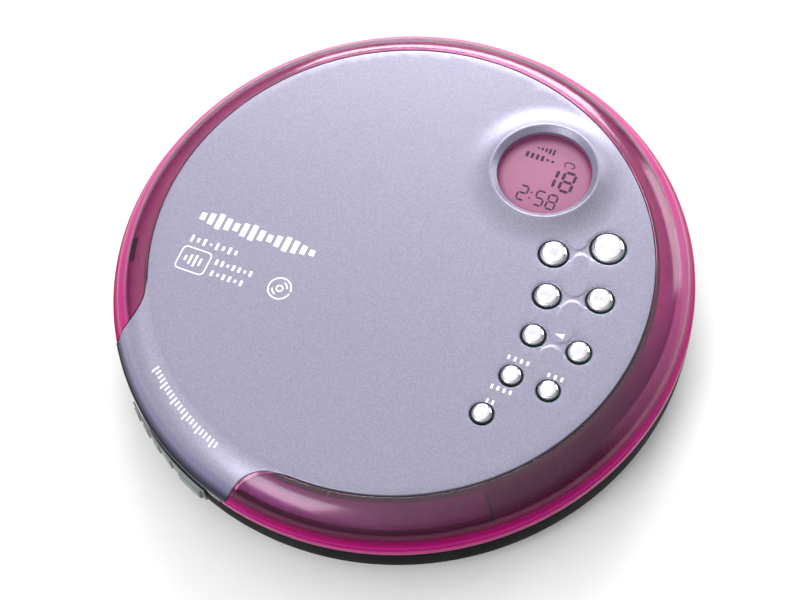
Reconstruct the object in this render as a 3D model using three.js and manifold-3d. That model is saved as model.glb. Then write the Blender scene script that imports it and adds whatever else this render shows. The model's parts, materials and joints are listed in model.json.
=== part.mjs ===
// A round portable CD player: a black bottom case with the drive mechanism and a battery bay, a tinted
// cabinet band, and a hinged lid made of a tinted ring and a painted plate that carries the display and
// the keys. Units are millimetres and +Z is up. The player stands on its feet at z = 0, centred on the
// Z axis. The hinge is at the back (+Y), so -Y is the front. Angles run counterclockwise from +X, in degrees.
import * as THREE from "three";
import { mergeVertices } from "three/addons/utils/BufferGeometryUtils.js";
import Module from "manifold-3d";

const wasm = await Module();
wasm.setup();

// ---- Driving dimensions -----------------------------------------------------------------------------

const RADIUS = 68; // outside of the case
const GAP = 0.3; // air between two neighbouring pieces
const ROUND = 40; // sides of the large turned pieces
const SMALL = 12; // sides of the small turned pieces

// Heights of the stack, from the feet up.
const FLOOR = 1; // underside of the bottom case
const SKIN = 1.2; // its thickness
const CASE_TOP = 13.5; // the black case meets the tinted cabinet band
const CABINET_TOP = 15.8; // the cabinet band meets the lid
const LID_BOTTOM = 16.1;
const TRAY_BOTTOM = 17;
const TRAY_TOP = 17.7; // floor of the disc well
const LINER_BOTTOM = 22; // ceiling of the disc well
const PLATE_EDGE = 24.5; // upper rim of the painted plate
const CROWN = 1.2; // the plate's centre is this much higher than its edge
const PLATE_SKIN = 1;
const BASE_INSIDE = FLOOR + SKIN;

// Plan of the lid.
const PLATE_RADIUS = 58.4;
const LOBE_ANGLE = -122.5; // direction of the plate's lobe, which carries the open slider under it
const LOBE_ROOT = 31.3; // half the angle that the lobe takes at the plate's edge
const LOBE_FILLET = 12; // the lobe's side leaves the plate's edge along an arc of this radius
const LOBE_FLARE = 60; // and turns this far before it runs straight to the rim

// Hinge at the back.
const HINGE_Y = 65.6;
const HINGE_Z = 16;
const KNUCKLE_RADIUS = 1.7;
const KNUCKLE_BORE = 0.95;
const PIN_RADIUS = 0.6;
const LID_KNUCKLE = [6.6, 11.6]; // along X, on both sides
const CABINET_KNUCKLE = [3.4, 6.3];

// Display, a round window in a raised mound.
const DISPLAY_AT = polar(40.1, 55.5);
const WINDOW_RADIUS = 11.1;
const CREST_RADIUS = 12.4;
const CREST_RISE = 1.65;
const SEAT_DEPTH = 1.1; // the window's seat below the crest
const MOUND_RADIUS = 17.5;

// Keys: distance from the centre, direction, cap radius.
const KEYS = {
  play_button: [47.8, 24.5, 3.9],
  stop_button: [35.3, 23, 3.25],
  skip_back_button: [35.2, 5, 3],
  skip_forward_button: [47, 8, 3],
  volume_down_button: [36.6, -11.5, 2.6],
  volume_up_button: [47.4, -9, 2.6],
  memory_button: [39.5, -27.7, 2.4],
  mode_button: [47.7, -23, 2.4],
  tone_button: [43.7, -42, 2.4],
};
const KEY_TRAVEL = 0.5;
const KEY_RISE = 0.85;
const KEY_GAP = 0.35;
const BOARD_BOTTOM = 22.8; // the switch board between the liner and the plate
const BOARD_TOP = 23.2;
const CAP_CLEARANCE = 0.2; // between a pressed key and the switch board

// Drive mechanism. The sled runs along -Y.
const DISC_REST = 18.7; // underside of a disc on the turntable
const CHASSIS_BOTTOM = 15;
const CHASSIS_TOP = 15.8;
const ROD_Z = 12;
const SLED_START = -24; // the lens at the inner end of its travel
const SLED_TRAVEL = 31.5;
const SLED = { halfWidth: 11, ahead: 5.3, behind: 10.7, bottom: 9, top: 14.6 };
const ROD_X = 8.5;
const ROD_ENDS = [-63, -11.7];
const RACK_MODULE = 0.5;
const RACK_PINION_TEETH = 12;
const TRAIN_MODULE = 0.4;
const FEED_GEAR_TEETH = 30;
const MOTOR_PINION_TEETH = 10;
const PRESSURE_ANGLE = 20;
const BACKLASH = 0.14;
const MESH_SLACK = 0.1; // extra centre distance
const RACK_LINE = 13.4; // X of the rack's pitch line
const RACK_PINION_Z = [12.4, 14.2];
const FEED_GEAR_Z = [7.2, 8.4];

// Bay for two AA cells, which lie side by side along X.
const CELL_Z = BASE_INSIDE + 7.45;
const CELL_Y = [23.2, 38.3];
const CELL_HALF = 25.3; // half a cell's length, its cap included
const BAY = { x: 31, front: 14.5, back: 47, wall: 1 };
const DOOR = { x: 29, front: 16, back: 45.5 };

// Things in the side wall.
const HOUSING_HALF = 19.8; // half the angle of the dark piece of the band under the lobe
const SLIDER_ANGLES = [-131, -107];
const SLIDER_NECK = [-117.5, -113.5];
const SLIDER_PLAY = 4.2; // how far the open slider moves along the rim, in degrees
const HOLD_ANGLES = [43.2, 46.8];
const HOLD_PLAY = 2;
const KNOB_BACK = 68.2; // both knobs run just outside the wall
const KNOB_FACE = 68.6;
const RIB_FACE = 68.9;
const GRIP_FACE = 69.3;
const HOOK_BOTTOM = 10.6;
const HEADPHONE_ANGLE = 165;
const DC_ANGLE = 150;
const JACK_Z = 8.2;
const LID_SWITCH = { distance: 60, angle: -160, radius: 1.1 };
const FEET = [35, 145, -35, -145].map((angle) => polar(50, angle));
const FOOT_RADIUS = 4;
const SCREWS = [[38, 40], [53, 2], [42, -38]].flatMap(([x, y]) => [[x, y], [-x, y]]);
const DAMPERS = [[20.5, 9], [20.5, -50]].flatMap(([x, y]) => [[x, y], [-x, y]]);

// ---- Helpers ----------------------------------------------------------------------------------------

function radians(degrees) {
  return (degrees * Math.PI) / 180;
}

function polar(radius, angle) {
  return [radius * Math.cos(radians(angle)), radius * Math.sin(radians(angle))];
}

// A closed three.js geometry as a manifold solid with its faces pointing out.
function solid(geometry) {
  const bare = geometry.index ? geometry.toNonIndexed() : geometry.clone();
  bare.deleteAttribute("normal");
  bare.deleteAttribute("uv");
  const merged = mergeVertices(bare, 1e-4);
  const points = merged.attributes.position.array;
  const corner = (i) => new THREE.Vector3().fromArray(points, i * 3);
  const triangles = [];
  let volume = 0;
  for (let i = 0; i < merged.index.count; i += 3) {
    const [a, b, c] = merged.index.array.slice(i, i + 3);
    if (a === b || b === c || c === a) continue;
    triangles.push(a, b, c);
    volume += corner(a).dot(corner(b).cross(corner(c)));
  }
  if (volume < 0) triangles.reverse();
  return new wasm.Manifold(
    new wasm.Mesh({
      numProp: 3,
      vertProperties: Float32Array.from(points),
      triVerts: Uint32Array.from(triangles),
    }),
  );
}

function join(first, ...others) {
  return others.reduce((whole, other) => whole.add(other), first);
}

function cut(first, ...others) {
  return others.reduce((whole, other) => whole.subtract(other), first);
}

function block([x0, x1], [y0, y1], [z0, z1]) {
  const box = new THREE.BoxGeometry(x1 - x0, y1 - y0, z1 - z0);
  return solid(box.translate((x0 + x1) / 2, (y0 + y1) / 2, (z0 + z1) / 2));
}

// An upright cylinder, or a cone where the two radii differ.
function disc(radius, [z0, z1], [x, y] = [0, 0], sides = SMALL, topRadius = radius) {
  const cylinder = new THREE.CylinderGeometry(topRadius, radius, z1 - z0, sides);
  return solid(cylinder.rotateX(Math.PI / 2).translate(x, y, (z0 + z1) / 2));
}

// A cylinder along X or Y.
function bar(axis, radius, [from, to], [across, z], sides = SMALL) {
  const cylinder = new THREE.CylinderGeometry(radius, radius, to - from, sides);
  const middle = (from + to) / 2;
  if (axis === "x") return solid(cylinder.rotateZ(Math.PI / 2).translate(middle, across, z));
  return solid(cylinder.translate(across, middle, z));
}

// A profile of [radius, z] points turned round the Z axis, then moved to a place.
function turned(profile, sides = ROUND, [x, y] = [0, 0]) {
  const closed = [...profile, profile[0]].map(([radius, z]) => new THREE.Vector2(radius, z));
  return solid(new THREE.LatheGeometry(closed, sides).rotateX(Math.PI / 2).translate(x, y, 0));
}

function extruded(outline, [z0, z1]) {
  const drawn = (points) => new THREE.Shape(points.map((p) => new THREE.Vector2(...p)));
  const shape = Array.isArray(outline) ? drawn(outline) : outline;
  const options = { depth: z1 - z0, bevelEnabled: false, steps: 1 };
  return solid(new THREE.ExtrudeGeometry(shape, options).translate(0, 0, z0));
}

// A piece of a ring between two angles.
function sector([r0, r1], [a0, a1], heights, stepsPerSide = Math.ceil((a1 - a0) / 3.75)) {
  const angles = Array.from({ length: stepsPerSide + 1 }, (_, i) => a0 + ((a1 - a0) * i) / stepsPerSide);
  const outer = angles.map((angle) => polar(r1, angle));
  const inner = angles.map((angle) => polar(r0, angle)).reverse();
  return extruded([...outer, ...inner], heights);
}

// A round wire along a curve.
function wire(curve, radius, steps, sides = 6) {
  const section = new THREE.Shape();
  section.absarc(0, 0, radius, 0, Math.PI * 2);
  const options = { steps, extrudePath: curve, curveSegments: sides / 2, bevelEnabled: false };
  return solid(new THREE.ExtrudeGeometry(section, options));
}

// A coil along X from one x to another, round a centre line at [y, z].
class Coil extends THREE.Curve {
  constructor([x0, x1], [y, z], startRadius, endRadius, turns) {
    super();
    Object.assign(this, { x0, x1, y, z, startRadius, endRadius, turns });
  }
  getPoint(t, target = new THREE.Vector3()) {
    const radius = this.startRadius + (this.endRadius - this.startRadius) * t;
    const angle = t * this.turns * 2 * Math.PI;
    const x = this.x0 + (this.x1 - this.x0) * t;
    return target.set(x, this.y + radius * Math.cos(angle), this.z + radius * Math.sin(angle));
  }
}

// Outline of a spur gear whose first tooth points along startAngle (degrees).
function gearOutline(teeth, module, startAngle, [x, y]) {
  const pitch = (module * teeth) / 2;
  const base = pitch * Math.cos(radians(PRESSURE_ANGLE));
  const involute = (radius) => {
    const angle = Math.acos(Math.min(1, base / radius));
    return Math.tan(angle) - angle;
  };
  const halfTooth = (radius) =>
    Math.PI / (2 * teeth) - BACKLASH / (2 * pitch) + involute(pitch) - involute(Math.max(radius, base));
  const flank = [pitch - 1.2 * module, pitch, pitch + 0.85 * module];
  const points = [];
  for (let tooth = 0; tooth < teeth; tooth++) {
    const middle = radians(startAngle) + (tooth * 2 * Math.PI) / teeth;
    const place = (radius, side) => {
      const angle = middle + side * halfTooth(radius);
      return [x + radius * Math.cos(angle), y + radius * Math.sin(angle)];
    };
    points.push(...flank.map((radius) => place(radius, -1)));
    points.push(...[...flank].reverse().map((radius) => place(radius, 1)));
  }
  return points;
}

// ---- Lid --------------------------------------------------------------------------------------------

// Height of the plate's upper face at a distance from the centre.
function plateTop(radius) {
  return PLATE_EDGE + CROWN * (1 - (radius / PLATE_RADIUS) ** 2);
}

// Shoulder of the lid, from the plate's edge to the lower rim: outer skin first, then the inner skin back.
const SHOULDER_OUTER = [[59.4, 24.35], [62.5, 22.75], [65, 20.9], [66.2, 19.6], [66.7, 18.4], [67.9, 16.6]];
const SHOULDER_INNER = [[66.3, LID_BOTTOM], [65.2, 18.2], [64.3, 19.5], [61.7, 21.4], [59.4, 22.5]];

// Half the angle of the lobe at a distance from the centre, in degrees.
function lobeHalfAngle(radius) {
  const flare = radians(LOBE_FLARE);
  const height = radius - PLATE_RADIUS;
  const bend = LOBE_FILLET * (1 - Math.cos(flare));
  const run =
    height < bend
      ? Math.sqrt(LOBE_FILLET ** 2 - (LOBE_FILLET - height) ** 2)
      : LOBE_FILLET * Math.sin(flare) + (height - bend) / Math.tan(flare);
  return LOBE_ROOT - (run / radius) * (180 / Math.PI);
}

// Plan of the lobe, grown by a margin on its two sides and inwards to a radius.
function lobePlan(margin, innerRadius) {
  const radii = [0, 0.4, 1.2, 2.6, 4.5, 6.5, RADIUS + 12 - PLATE_RADIUS].map((step) => PLATE_RADIUS + step);
  const side = (sign) =>
    radii.map((radius) => {
      const spread = lobeHalfAngle(radius) + (margin / radius) * (180 / Math.PI);
      return polar(radius, LOBE_ANGLE + sign * spread);
    });
  const steps = 12;
  const inner = Array.from({ length: steps + 1 }, (_, i) =>
    polar(innerRadius, LOBE_ANGLE - LOBE_ROOT + (2 * LOBE_ROOT * i) / steps),
  );
  return [...inner, ...side(1), ...side(-1).reverse()];
}

const hingeLine = [HINGE_Y, HINGE_Z];
const bothSides = ([from, to]) => [[from, to], [-to, -from]];

function lidRing() {
  const lip = PLATE_RADIUS + GAP;
  const ring = turned([
    [56.5, 22.2],
    [56.5, 23.2],
    [lip, 23.2],
    [lip, 24.3],
    ...SHOULDER_OUTER,
    [67.9, LID_BOTTOM],
    ...SHOULDER_INNER,
  ]);
  const reach = LID_KNUCKLE[1] + 8;
  const cutRing = cut(
    ring,
    extruded(lobePlan(GAP, 56), [10, 30]),
    block([-reach, reach], [HINGE_Y, 70], [10, 30]),
    bar("x", KNUCKLE_RADIUS + GAP, [-LID_KNUCKLE[0], LID_KNUCKLE[0]], hingeLine),
  );
  const knuckles = bothSides(LID_KNUCKLE).map((span) => bar("x", KNUCKLE_RADIUS, span, hingeLine));
  return cut(join(cutRing, ...knuckles), bar("x", KNUCKLE_BORE, [-25, 25], hingeLine));
}

function lidPlate() {
  const radii = [0, 26, 43, 57.4];
  const top = radii.map((radius) => [radius, plateTop(radius)]);
  const under = [0, 40].map((radius) => [radius, plateTop(radius) - PLATE_SKIN]);
  const edge = [[PLATE_RADIUS, PLATE_EDGE - 0.4], [PLATE_RADIUS, PLATE_EDGE - PLATE_SKIN]];
  const plate = turned([...top, ...edge, ...under.reverse()]);
  const lobe = turned([
    [57, PLATE_EDGE],
    ...SHOULDER_OUTER,
    [67.9, LID_BOTTOM],
    ...SHOULDER_INNER.slice(0, 4),
    [59.4, 23],
    [57, PLATE_EDGE - PLATE_SKIN],
  ]).intersect(extruded(lobePlan(0, 57.2), [10, 30]));
  const crest = plateTop(Math.hypot(...DISPLAY_AT)) + CREST_RISE;
  const mound = turned(
    [
      [5, 24.2],
      [5, crest],
      [CREST_RADIUS + 0.4, crest],
      [14, crest - 0.7],
      [15.5, crest - 1.2],
      [MOUND_RADIUS, crest - 1.8],
      [MOUND_RADIUS, 24.2],
    ],
    24,
    DISPLAY_AT,
  );
  const seat = crest - SEAT_DEPTH;
  const keyHoles = Object.values(KEYS).map(([radius, angle, cap]) =>
    disc(cap + KEY_GAP, [20, 30], polar(radius, angle)),
  );
  return cut(
    join(plate, lobe, mound, lidHook()),
    disc(WINDOW_RADIUS, [20, 30], DISPLAY_AT, 24),
    disc(WINDOW_RADIUS + 0.6, [20, seat], DISPLAY_AT, 24),
    disc(WINDOW_RADIUS, [seat, crest + 0.1], DISPLAY_AT, 24, CREST_RADIUS),
    ...keyHoles,
  );
}

function displayWindow() {
  const top = plateTop(Math.hypot(...DISPLAY_AT)) + CREST_RISE - SEAT_DEPTH - 0.05;
  return disc(WINDOW_RADIUS + GAP, [top - 0.8, top], DISPLAY_AT, 24);
}

function displayPanel() {
  return disc(WINDOW_RADIUS, [23.5, 24.6], DISPLAY_AT, 24);
}

function key([radius, angle, cap]) {
  const top = plateTop(radius) + KEY_RISE;
  const bottom = BOARD_TOP + CAP_CLEARANCE + KEY_TRAVEL;
  const profile = [[0, bottom], [cap, bottom], [cap, top - 0.45], [cap * 0.86, top - 0.1], [0, top]];
  return turned(profile, SMALL, polar(radius, angle));
}

function switchBoard() {
  return sector([29, 52.5], [-54, 76], [BOARD_BOTTOM, BOARD_TOP], 18);
}

function lidLiner() {
  return turned([[0, LINER_BOTTOM], [56.2, LINER_BOTTOM], [56.2, 22.6], [0, 22.6]]);
}

// The hook under the lobe, with a foot that the open slider's catch comes over.
function lidHook() {
  const radii = [64.9, 65.9];
  const stem = sector(radii, [LOBE_ANGLE - 2.2, LOBE_ANGLE + 2.2], [HOOK_BOTTOM, 18.6], 2);
  const foot = sector(radii, [LOBE_ANGLE - 2.2, LOBE_ANGLE + 3.9], [HOOK_BOTTOM, HOOK_BOTTOM + 1.1], 2);
  return join(stem, foot);
}

// ---- Case -------------------------------------------------------------------------------------------

function caseShell() {
  return turned([
    [0, FLOOR],
    [57, FLOOR],
    [63.8, 2.2],
    [66.7, 4.2],
    [67.6, 6.6],
    [67.9, 9],
    [RADIUS, CASE_TOP],
    [66.4, CASE_TOP],
    [66.1, 8.2],
    [65, 5.8],
    [61.8, 3.6],
    [56.6, BASE_INSIDE],
    [0, BASE_INSIDE],
  ]);
}

// The room that the battery door takes in the bottom, less a margin all round.
function doorSpace(margin) {
  return block([margin - DOOR.x, DOOR.x - margin], [DOOR.front + margin, DOOR.back - margin], [0, 6]);
}

function batteryDoor() {
  return caseShell().intersect(doorSpace(GAP));
}

function jackHole(angle, radius) {
  const hole = new THREE.CylinderGeometry(radius, radius, 8, SMALL).rotateZ(Math.PI / 2);
  return solid(hole.translate(67, 0, JACK_Z).rotateZ(radians(angle)));
}

function bottomCase() {
  const walls = cut(
    block([-BAY.x, BAY.x], [BAY.front, BAY.back], [FLOOR + 0.4, 16.7]),
    block([BAY.wall - BAY.x, BAY.x - BAY.wall], [BAY.front + BAY.wall, BAY.back - BAY.wall], [0, 20]),
  );
  const posts = DAMPERS.map((place) => disc(1.6, [FLOOR + 0.4, 10.8], place, 10));
  const footPockets = FEET.map((place) => disc(FOOT_RADIUS + GAP, [0, FLOOR + 0.4], place));
  const recesses = SCREWS.map((place) => disc(2.3, [0, FLOOR + 0.5], place, 12));
  const neckSlot = [SLIDER_NECK[0] - 0.5, SLIDER_NECK[1] + SLIDER_PLAY + 0.5];
  const holdSlot = [HOLD_ANGLES[0] - 0.5, HOLD_ANGLES[1] + HOLD_PLAY + 0.5];
  return cut(
    join(caseShell(), walls, ...posts),
    doorSpace(0),
    ...footPockets,
    ...recesses,
    sector([60, 72], neckSlot, [9.5, 12.5]),
    sector([60, 72], holdSlot, [9.1, 11.3]),
    jackHole(HEADPHONE_ANGLE, 2.7),
    jackHole(DC_ANGLE, 3.3),
  );
}

function cabinetBand() {
  return turned([
    [64.6, 11.5],
    [66.1, 11.5],
    [66.1, CASE_TOP],
    [RADIUS, CASE_TOP],
    [RADIUS, CABINET_TOP - 0.3],
    [67.7, CABINET_TOP],
    [64.6, CABINET_TOP],
  ]);
}

const housingAngles = [LOBE_ANGLE - HOUSING_HALF, LOBE_ANGLE + HOUSING_HALF];

function cabinetRing() {
  const pockets = bothSides(LID_KNUCKLE).map(([from, to]) =>
    bar("x", KNUCKLE_RADIUS + GAP, [from - GAP, to + GAP], hingeLine),
  );
  const knuckles = bothSides(CABINET_KNUCKLE).map((span) => bar("x", KNUCKLE_RADIUS, span, hingeLine));
  const springPocket = block([-CABINET_KNUCKLE[0], CABINET_KNUCKLE[0]], [64.2, 70], [13.9, 20]);
  const ring = cut(
    cabinetBand(),
    sector([60, 72], housingAngles, [0, 30]),
    ...pockets,
    springPocket,
  );
  return cut(join(ring, ...knuckles), bar("x", KNUCKLE_BORE, [-25, 25], hingeLine));
}

// The dark piece of the band under the lobe, with a slot for the hook and room for the catch.
function latchHousing() {
  const ends = [housingAngles[0] + GAP, housingAngles[1] - GAP];
  return cut(
    cabinetBand().intersect(sector([60, 72], ends, [0, 30])),
    sector([60, 66.4], [LOBE_ANGLE - 3, LOBE_ANGLE + 5], [0, 30]),
    sector([60, 66.4], [LOBE_ANGLE + 3, LOBE_ANGLE + 16], [0, 13.4]),
  );
}

// The finger slider: a ribbed knob outside the wall, a neck through it, and the catch inside.
function openSlider() {
  const [from, to] = SLIDER_ANGLES;
  const inside = KNOB_FACE - 0.1;
  const ribs = [1, 5, 9, 13].map((start) =>
    sector([inside, RIB_FACE], [from + start, from + start + 1.6], [9.2, 13.6], 1),
  );
  const grip = sector([inside, GRIP_FACE], [to - 6.5, to - 0.8], [9.4, 13.4], 3);
  return join(
    sector([KNOB_BACK, KNOB_FACE], [from, to], [8.9, 13.9]),
    ...ribs,
    grip,
    sector([65.5, inside], SLIDER_NECK, [9.8, 12.2], 1),
    sector([65, 65.8], [LOBE_ANGLE + 4.5, SLIDER_NECK[1]], [9.8, 13.2], 2),
  );
}

function latchSpring() {
  return wire(new Coil([0, 6], [0, 0], 1, 1, 5), 0.2, 40);
}

function holdSwitch() {
  return join(
    sector([KNOB_BACK, RIB_FACE], [HOLD_ANGLES[0] - 1.4, HOLD_ANGLES[1] + 1.4], [8.8, 11.6], 2),
    sector([65.6, KNOB_FACE], HOLD_ANGLES, [9.4, 11], 1),
  );
}

function hingePin() {
  const end = LID_KNUCKLE[1] - 0.3;
  return bar("x", PIN_RADIUS, [-end, end], hingeLine, 12);
}

function hingeSpring() {
  const end = CABINET_KNUCKLE[0] - 0.4;
  return wire(new Coil([-end, end], hingeLine, 1.2, 1.2, 5), 0.22, 40);
}

function discTray() {
  const well = turned([
    [0, TRAY_BOTTOM],
    [64.2, TRAY_BOTTOM],
    [64.2, 18.6],
    [63.6, 19],
    [62.4, 19],
    [61.2, TRAY_TOP],
    [0, TRAY_TOP],
  ]);
  const bosses = SCREWS.map((place) => disc(2.5, [3.2, TRAY_BOTTOM + 0.2], place, 12));
  const halfTurn = Array.from({ length: 9 }, (_, i) => polar(7.5, 180 + i * 22.5));
  const slotEnd = halfTurn.map(([x, y]) => [x, y - 56]);
  const switchPlace = polar(LID_SWITCH.distance, LID_SWITCH.angle);
  const switchHole = disc(LID_SWITCH.radius + GAP, [16, 20], switchPlace, 12);
  return cut(
    join(well, ...bosses),
    disc(16.6, [14, 20], [0, 0], 24),
    extruded([[7.5, 0], [-7.5, 0], ...slotEnd], [14, 20]),
    switchHole,
  );
}

// The pin that the closed lid holds down.
function lidSwitch() {
  const place = polar(LID_SWITCH.distance, LID_SWITCH.angle);
  return join(disc(LID_SWITCH.radius, [15.6, 21.6], place, 12), disc(1.8, [15.4, 16.4], place, 12));
}

function rubberFoot(place) {
  return disc(FOOT_RADIUS - 0.4, [0, FLOOR + 0.4], place, SMALL, FOOT_RADIUS);
}

// ---- Drive mechanism --------------------------------------------------------------------------------

function traverseChassis() {
  const outline = [[-25, 13], [25, 13], [26.5, -30], [25, -52], [14, -59], [-14, -59], [-25, -52]];
  const holders = [[-63.2, -62.2], [-12.8, -11.6]].flatMap((span) =>
    [-ROD_X, ROD_X].map((x) => block([x - 1.6, x + 1.6], span, [10.4, CHASSIS_BOTTOM + 0.2])),
  );
  const bridge = block([-ROD_X - 1.6, ROD_X + 1.6], [-63.2, -58.5], [CHASSIS_BOTTOM, CHASSIS_TOP]);
  const bores = [-ROD_X, ROD_X].map((x) => bar("y", 1.3, [-64, -10], [x, ROD_Z], 12));
  return cut(
    join(extruded(outline, [CHASSIS_BOTTOM, CHASSIS_TOP]), bridge, ...holders),
    block([-6.6, 6.6], [-62, -13.6], [10, 20]),
    disc(4, [10, 20]),
    ...bores,
  );
}

function guideRod(x) {
  return bar("y", 1, ROD_ENDS, [x, ROD_Z], 12);
}

function chassisDamper(place) {
  const profile = [
    [0, 10.9],
    [2.6, 10.9],
    [2.9, 11.6],
    [2, 12.8],
    [2.9, 14],
    [2.6, CHASSIS_BOTTOM],
    [0, CHASSIS_BOTTOM],
  ];
  return turned(profile, 12, place);
}

function spindleMotor() {
  const profile = [
    [0, 8.4],
    [9.6, 8.4],
    [10.5, 9.3],
    [10.5, 14.2],
    [9.8, CHASSIS_BOTTOM],
    [0, CHASSIS_BOTTOM],
  ];
  return turned(profile, 24);
}

// The platter, its shaft and the hub, whose three claws grip the disc's hole.
function turntable() {
  const platter = turned(
    [
      [0, CHASSIS_BOTTOM + 0.3],
      [1, CHASSIS_BOTTOM + 0.3],
      [1, 17],
      [14.6, 17.4],
      [15.2, 17.9],
      [15, DISC_REST],
      [8.4, DISC_REST],
      [8.2, 18.4],
      [7.3, 18.4],
      [7.2, 20],
      [6.2, 20.9],
      [2.4, 21.1],
      [2.2, 20.6],
      [0, 20.6],
    ],
    24,
  );
  const claws = [90, 210, 330].map((angle) => disc(1, [19.2, 20.2], polar(6.6, angle), 10, 0.6));
  return join(platter, ...claws);
}

function pickupSled() {
  const body = block(
    [-SLED.halfWidth, SLED.halfWidth],
    [SLED_START - SLED.ahead, SLED_START + SLED.behind],
    [SLED.bottom, SLED.top],
  );
  const tower = block([-5.4, 5.4], [SLED_START - 5, SLED_START + 5], [SLED.top - 0.2, 16.1]);
  const bores = [-ROD_X, ROD_X].map((x) => bar("y", 1.3, [-40, -10], [x, ROD_Z], 12));
  const laserNotch = block([-4, 4], [SLED_START + 6, SLED_START + 12], [8, 11]);
  return cut(join(body, tower), ...bores, laserNotch);
}

function pickupCover() {
  const cover = block([-5.4, 5.4], [SLED_START - 5, SLED_START + 5], [16.4, 17.1]);
  return cut(cover, disc(3, [16, 18], [0, SLED_START], 20));
}

function objectiveLens() {
  const profile = [[0, 16.7], [2.6, 16.7], [2.6, 17.3], [2, 17.7], [1.2, 18], [0, 18.1]];
  return turned(profile, 20, [0, SLED_START]);
}

function sledRack() {
  const pitch = Math.PI * RACK_MODULE;
  const tip = RACK_LINE + 0.7 * RACK_MODULE;
  const root = RACK_LINE - 1.2 * RACK_MODULE;
  const half = (x) => pitch / 4 - BACKLASH / 2 - (x - RACK_LINE) * Math.tan(radians(PRESSURE_ANGLE));
  const points = [];
  const middle = pinionCentre[1];
  const last = Math.ceil(SLED_TRAVEL / pitch) + 1;
  for (let tooth = -1; tooth <= last; tooth++) {
    const y = middle + tooth * pitch;
    points.push([root, y - half(root)], [tip, y - half(tip)], [tip, y + half(tip)], [root, y + half(root)]);
  }
  const from = middle - 1.6 * pitch;
  const to = middle + (last + 0.6) * pitch;
  const back = SLED.halfWidth;
  return extruded([[back, from], [root, from], ...points, [root, to], [back, to]], RACK_PINION_Z);
}

const pinionCentre = [RACK_LINE + (RACK_MODULE * RACK_PINION_TEETH) / 2 + MESH_SLACK, -27.5];
const trainDistance = (TRAIN_MODULE * (FEED_GEAR_TEETH + MOTOR_PINION_TEETH)) / 2 + MESH_SLACK;
const trainAngle = -60;
const motorCentre = polar(trainDistance, trainAngle).map((value, i) => value + pinionCentre[i]);

// The double gear: its small wheel drives the rack and its large wheel meshes with the motor's pinion.
function feedGear() {
  const gapTowardsRack = 180 + 180 / RACK_PINION_TEETH;
  const small = gearOutline(RACK_PINION_TEETH, RACK_MODULE, gapTowardsRack, pinionCentre);
  const large = gearOutline(FEED_GEAR_TEETH, TRAIN_MODULE, trainAngle, pinionCentre);
  return cut(
    join(
      extruded(small, RACK_PINION_Z),
      disc(2, [FEED_GEAR_Z[1] - 0.1, RACK_PINION_Z[0] + 0.1], pinionCentre, 12),
      extruded(large, FEED_GEAR_Z),
    ),
    disc(1, [0, 20], pinionCentre, 12),
  );
}

function feedGearShaft() {
  return disc(0.7, [5.4, CHASSIS_BOTTOM], pinionCentre, 12);
}

function motorPinion() {
  const gapTowardsGear = trainAngle + 180 + 180 / MOTOR_PINION_TEETH;
  return extruded(gearOutline(MOTOR_PINION_TEETH, TRAIN_MODULE, gapTowardsGear, motorCentre), FEED_GEAR_Z);
}

function feedMotor() {
  const profile = [
    [0, 8.8],
    [1.6, 8.8],
    [1.6, 9.4],
    [3.6, 9.4],
    [4.2, 10],
    [4.2, CHASSIS_BOTTOM],
    [0, CHASSIS_BOTTOM],
  ];
  return turned(profile, SMALL, motorCentre);
}

// ---- Electronics ------------------------------------------------------------------------------------

const BOARD = [3.4, 4.2];

function mainBoard() {
  const outline = [[-38, 12], [38, 12], [38, -36], [30, -44], [-30, -44], [-38, -36]];
  const holes = DAMPERS.filter(([, y]) => y > 0).map((place) => disc(2.2, [0, 10], place, 12));
  return cut(extruded(outline, BOARD), ...holes);
}

function chip([x, y], [width, depth], height) {
  return block([x - width / 2, x + width / 2], [y - depth / 2, y + depth / 2], [BOARD[1], BOARD[1] + height]);
}

// A jack in its own frame along +X, turned to its place in the wall.
function jack(angle, barrel, bore) {
  const tube = new THREE.CylinderGeometry(barrel, barrel, 10, SMALL).rotateZ(Math.PI / 2);
  const hole = new THREE.CylinderGeometry(bore, bore, 12, SMALL).rotateZ(Math.PI / 2);
  const body = new THREE.BoxGeometry(9, 7.4, 6.4);
  const turn = (geometry) => solid(geometry.rotateZ(radians(angle)));
  return cut(
    join(turn(tube.translate(62.4, 0, JACK_Z)), turn(body.translate(58.5, 0, JACK_Z))),
    turn(hole.translate(64.5, 0, JACK_Z)),
  );
}

function dcPin() {
  const pin = new THREE.CylinderGeometry(0.6, 0.6, 7, 10).rotateZ(Math.PI / 2);
  return solid(pin.translate(62.3, 0, JACK_Z).rotateZ(radians(DC_ANGLE)));
}

// Battery terminals, on the bay's end walls (side is +1 or -1 along X): a plate over a stretch of the wall,
// a coil for the flat end of a cell, and a raised pad for the other end.
const TERMINAL_WALL = BAY.x - BAY.wall - GAP;

function terminalPlate(side, span) {
  const faces = [side * TERMINAL_WALL, side * (TERMINAL_WALL - 0.4)];
  return block(faces.sort((a, b) => a - b), span, [4.6, 14.6]);
}

function terminalCoil(side, y) {
  const ends = [side * (TERMINAL_WALL - 0.3), side * (CELL_HALF + 0.5)];
  return wire(new Coil(ends, [y, CELL_Z], 4, 2, 3), 0.28, 30);
}

function terminalPad(side, y) {
  const ends = [side * (TERMINAL_WALL - 0.3), side * (CELL_HALF + 0.5)];
  return bar("x", 2.2, ends.sort((a, b) => a - b), [y, CELL_Z], 12);
}

function batteryBridge() {
  const plate = terminalPlate(-1, [CELL_Y[0] - 4.4, CELL_Y[1] + 4.4]);
  return join(plate, terminalCoil(-1, CELL_Y[0]), terminalPad(-1, CELL_Y[1]));
}

function batteryContact() {
  return join(terminalPlate(1, [CELL_Y[0] - 4.4, CELL_Y[0] + 4.4]), terminalPad(1, CELL_Y[0]));
}

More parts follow.
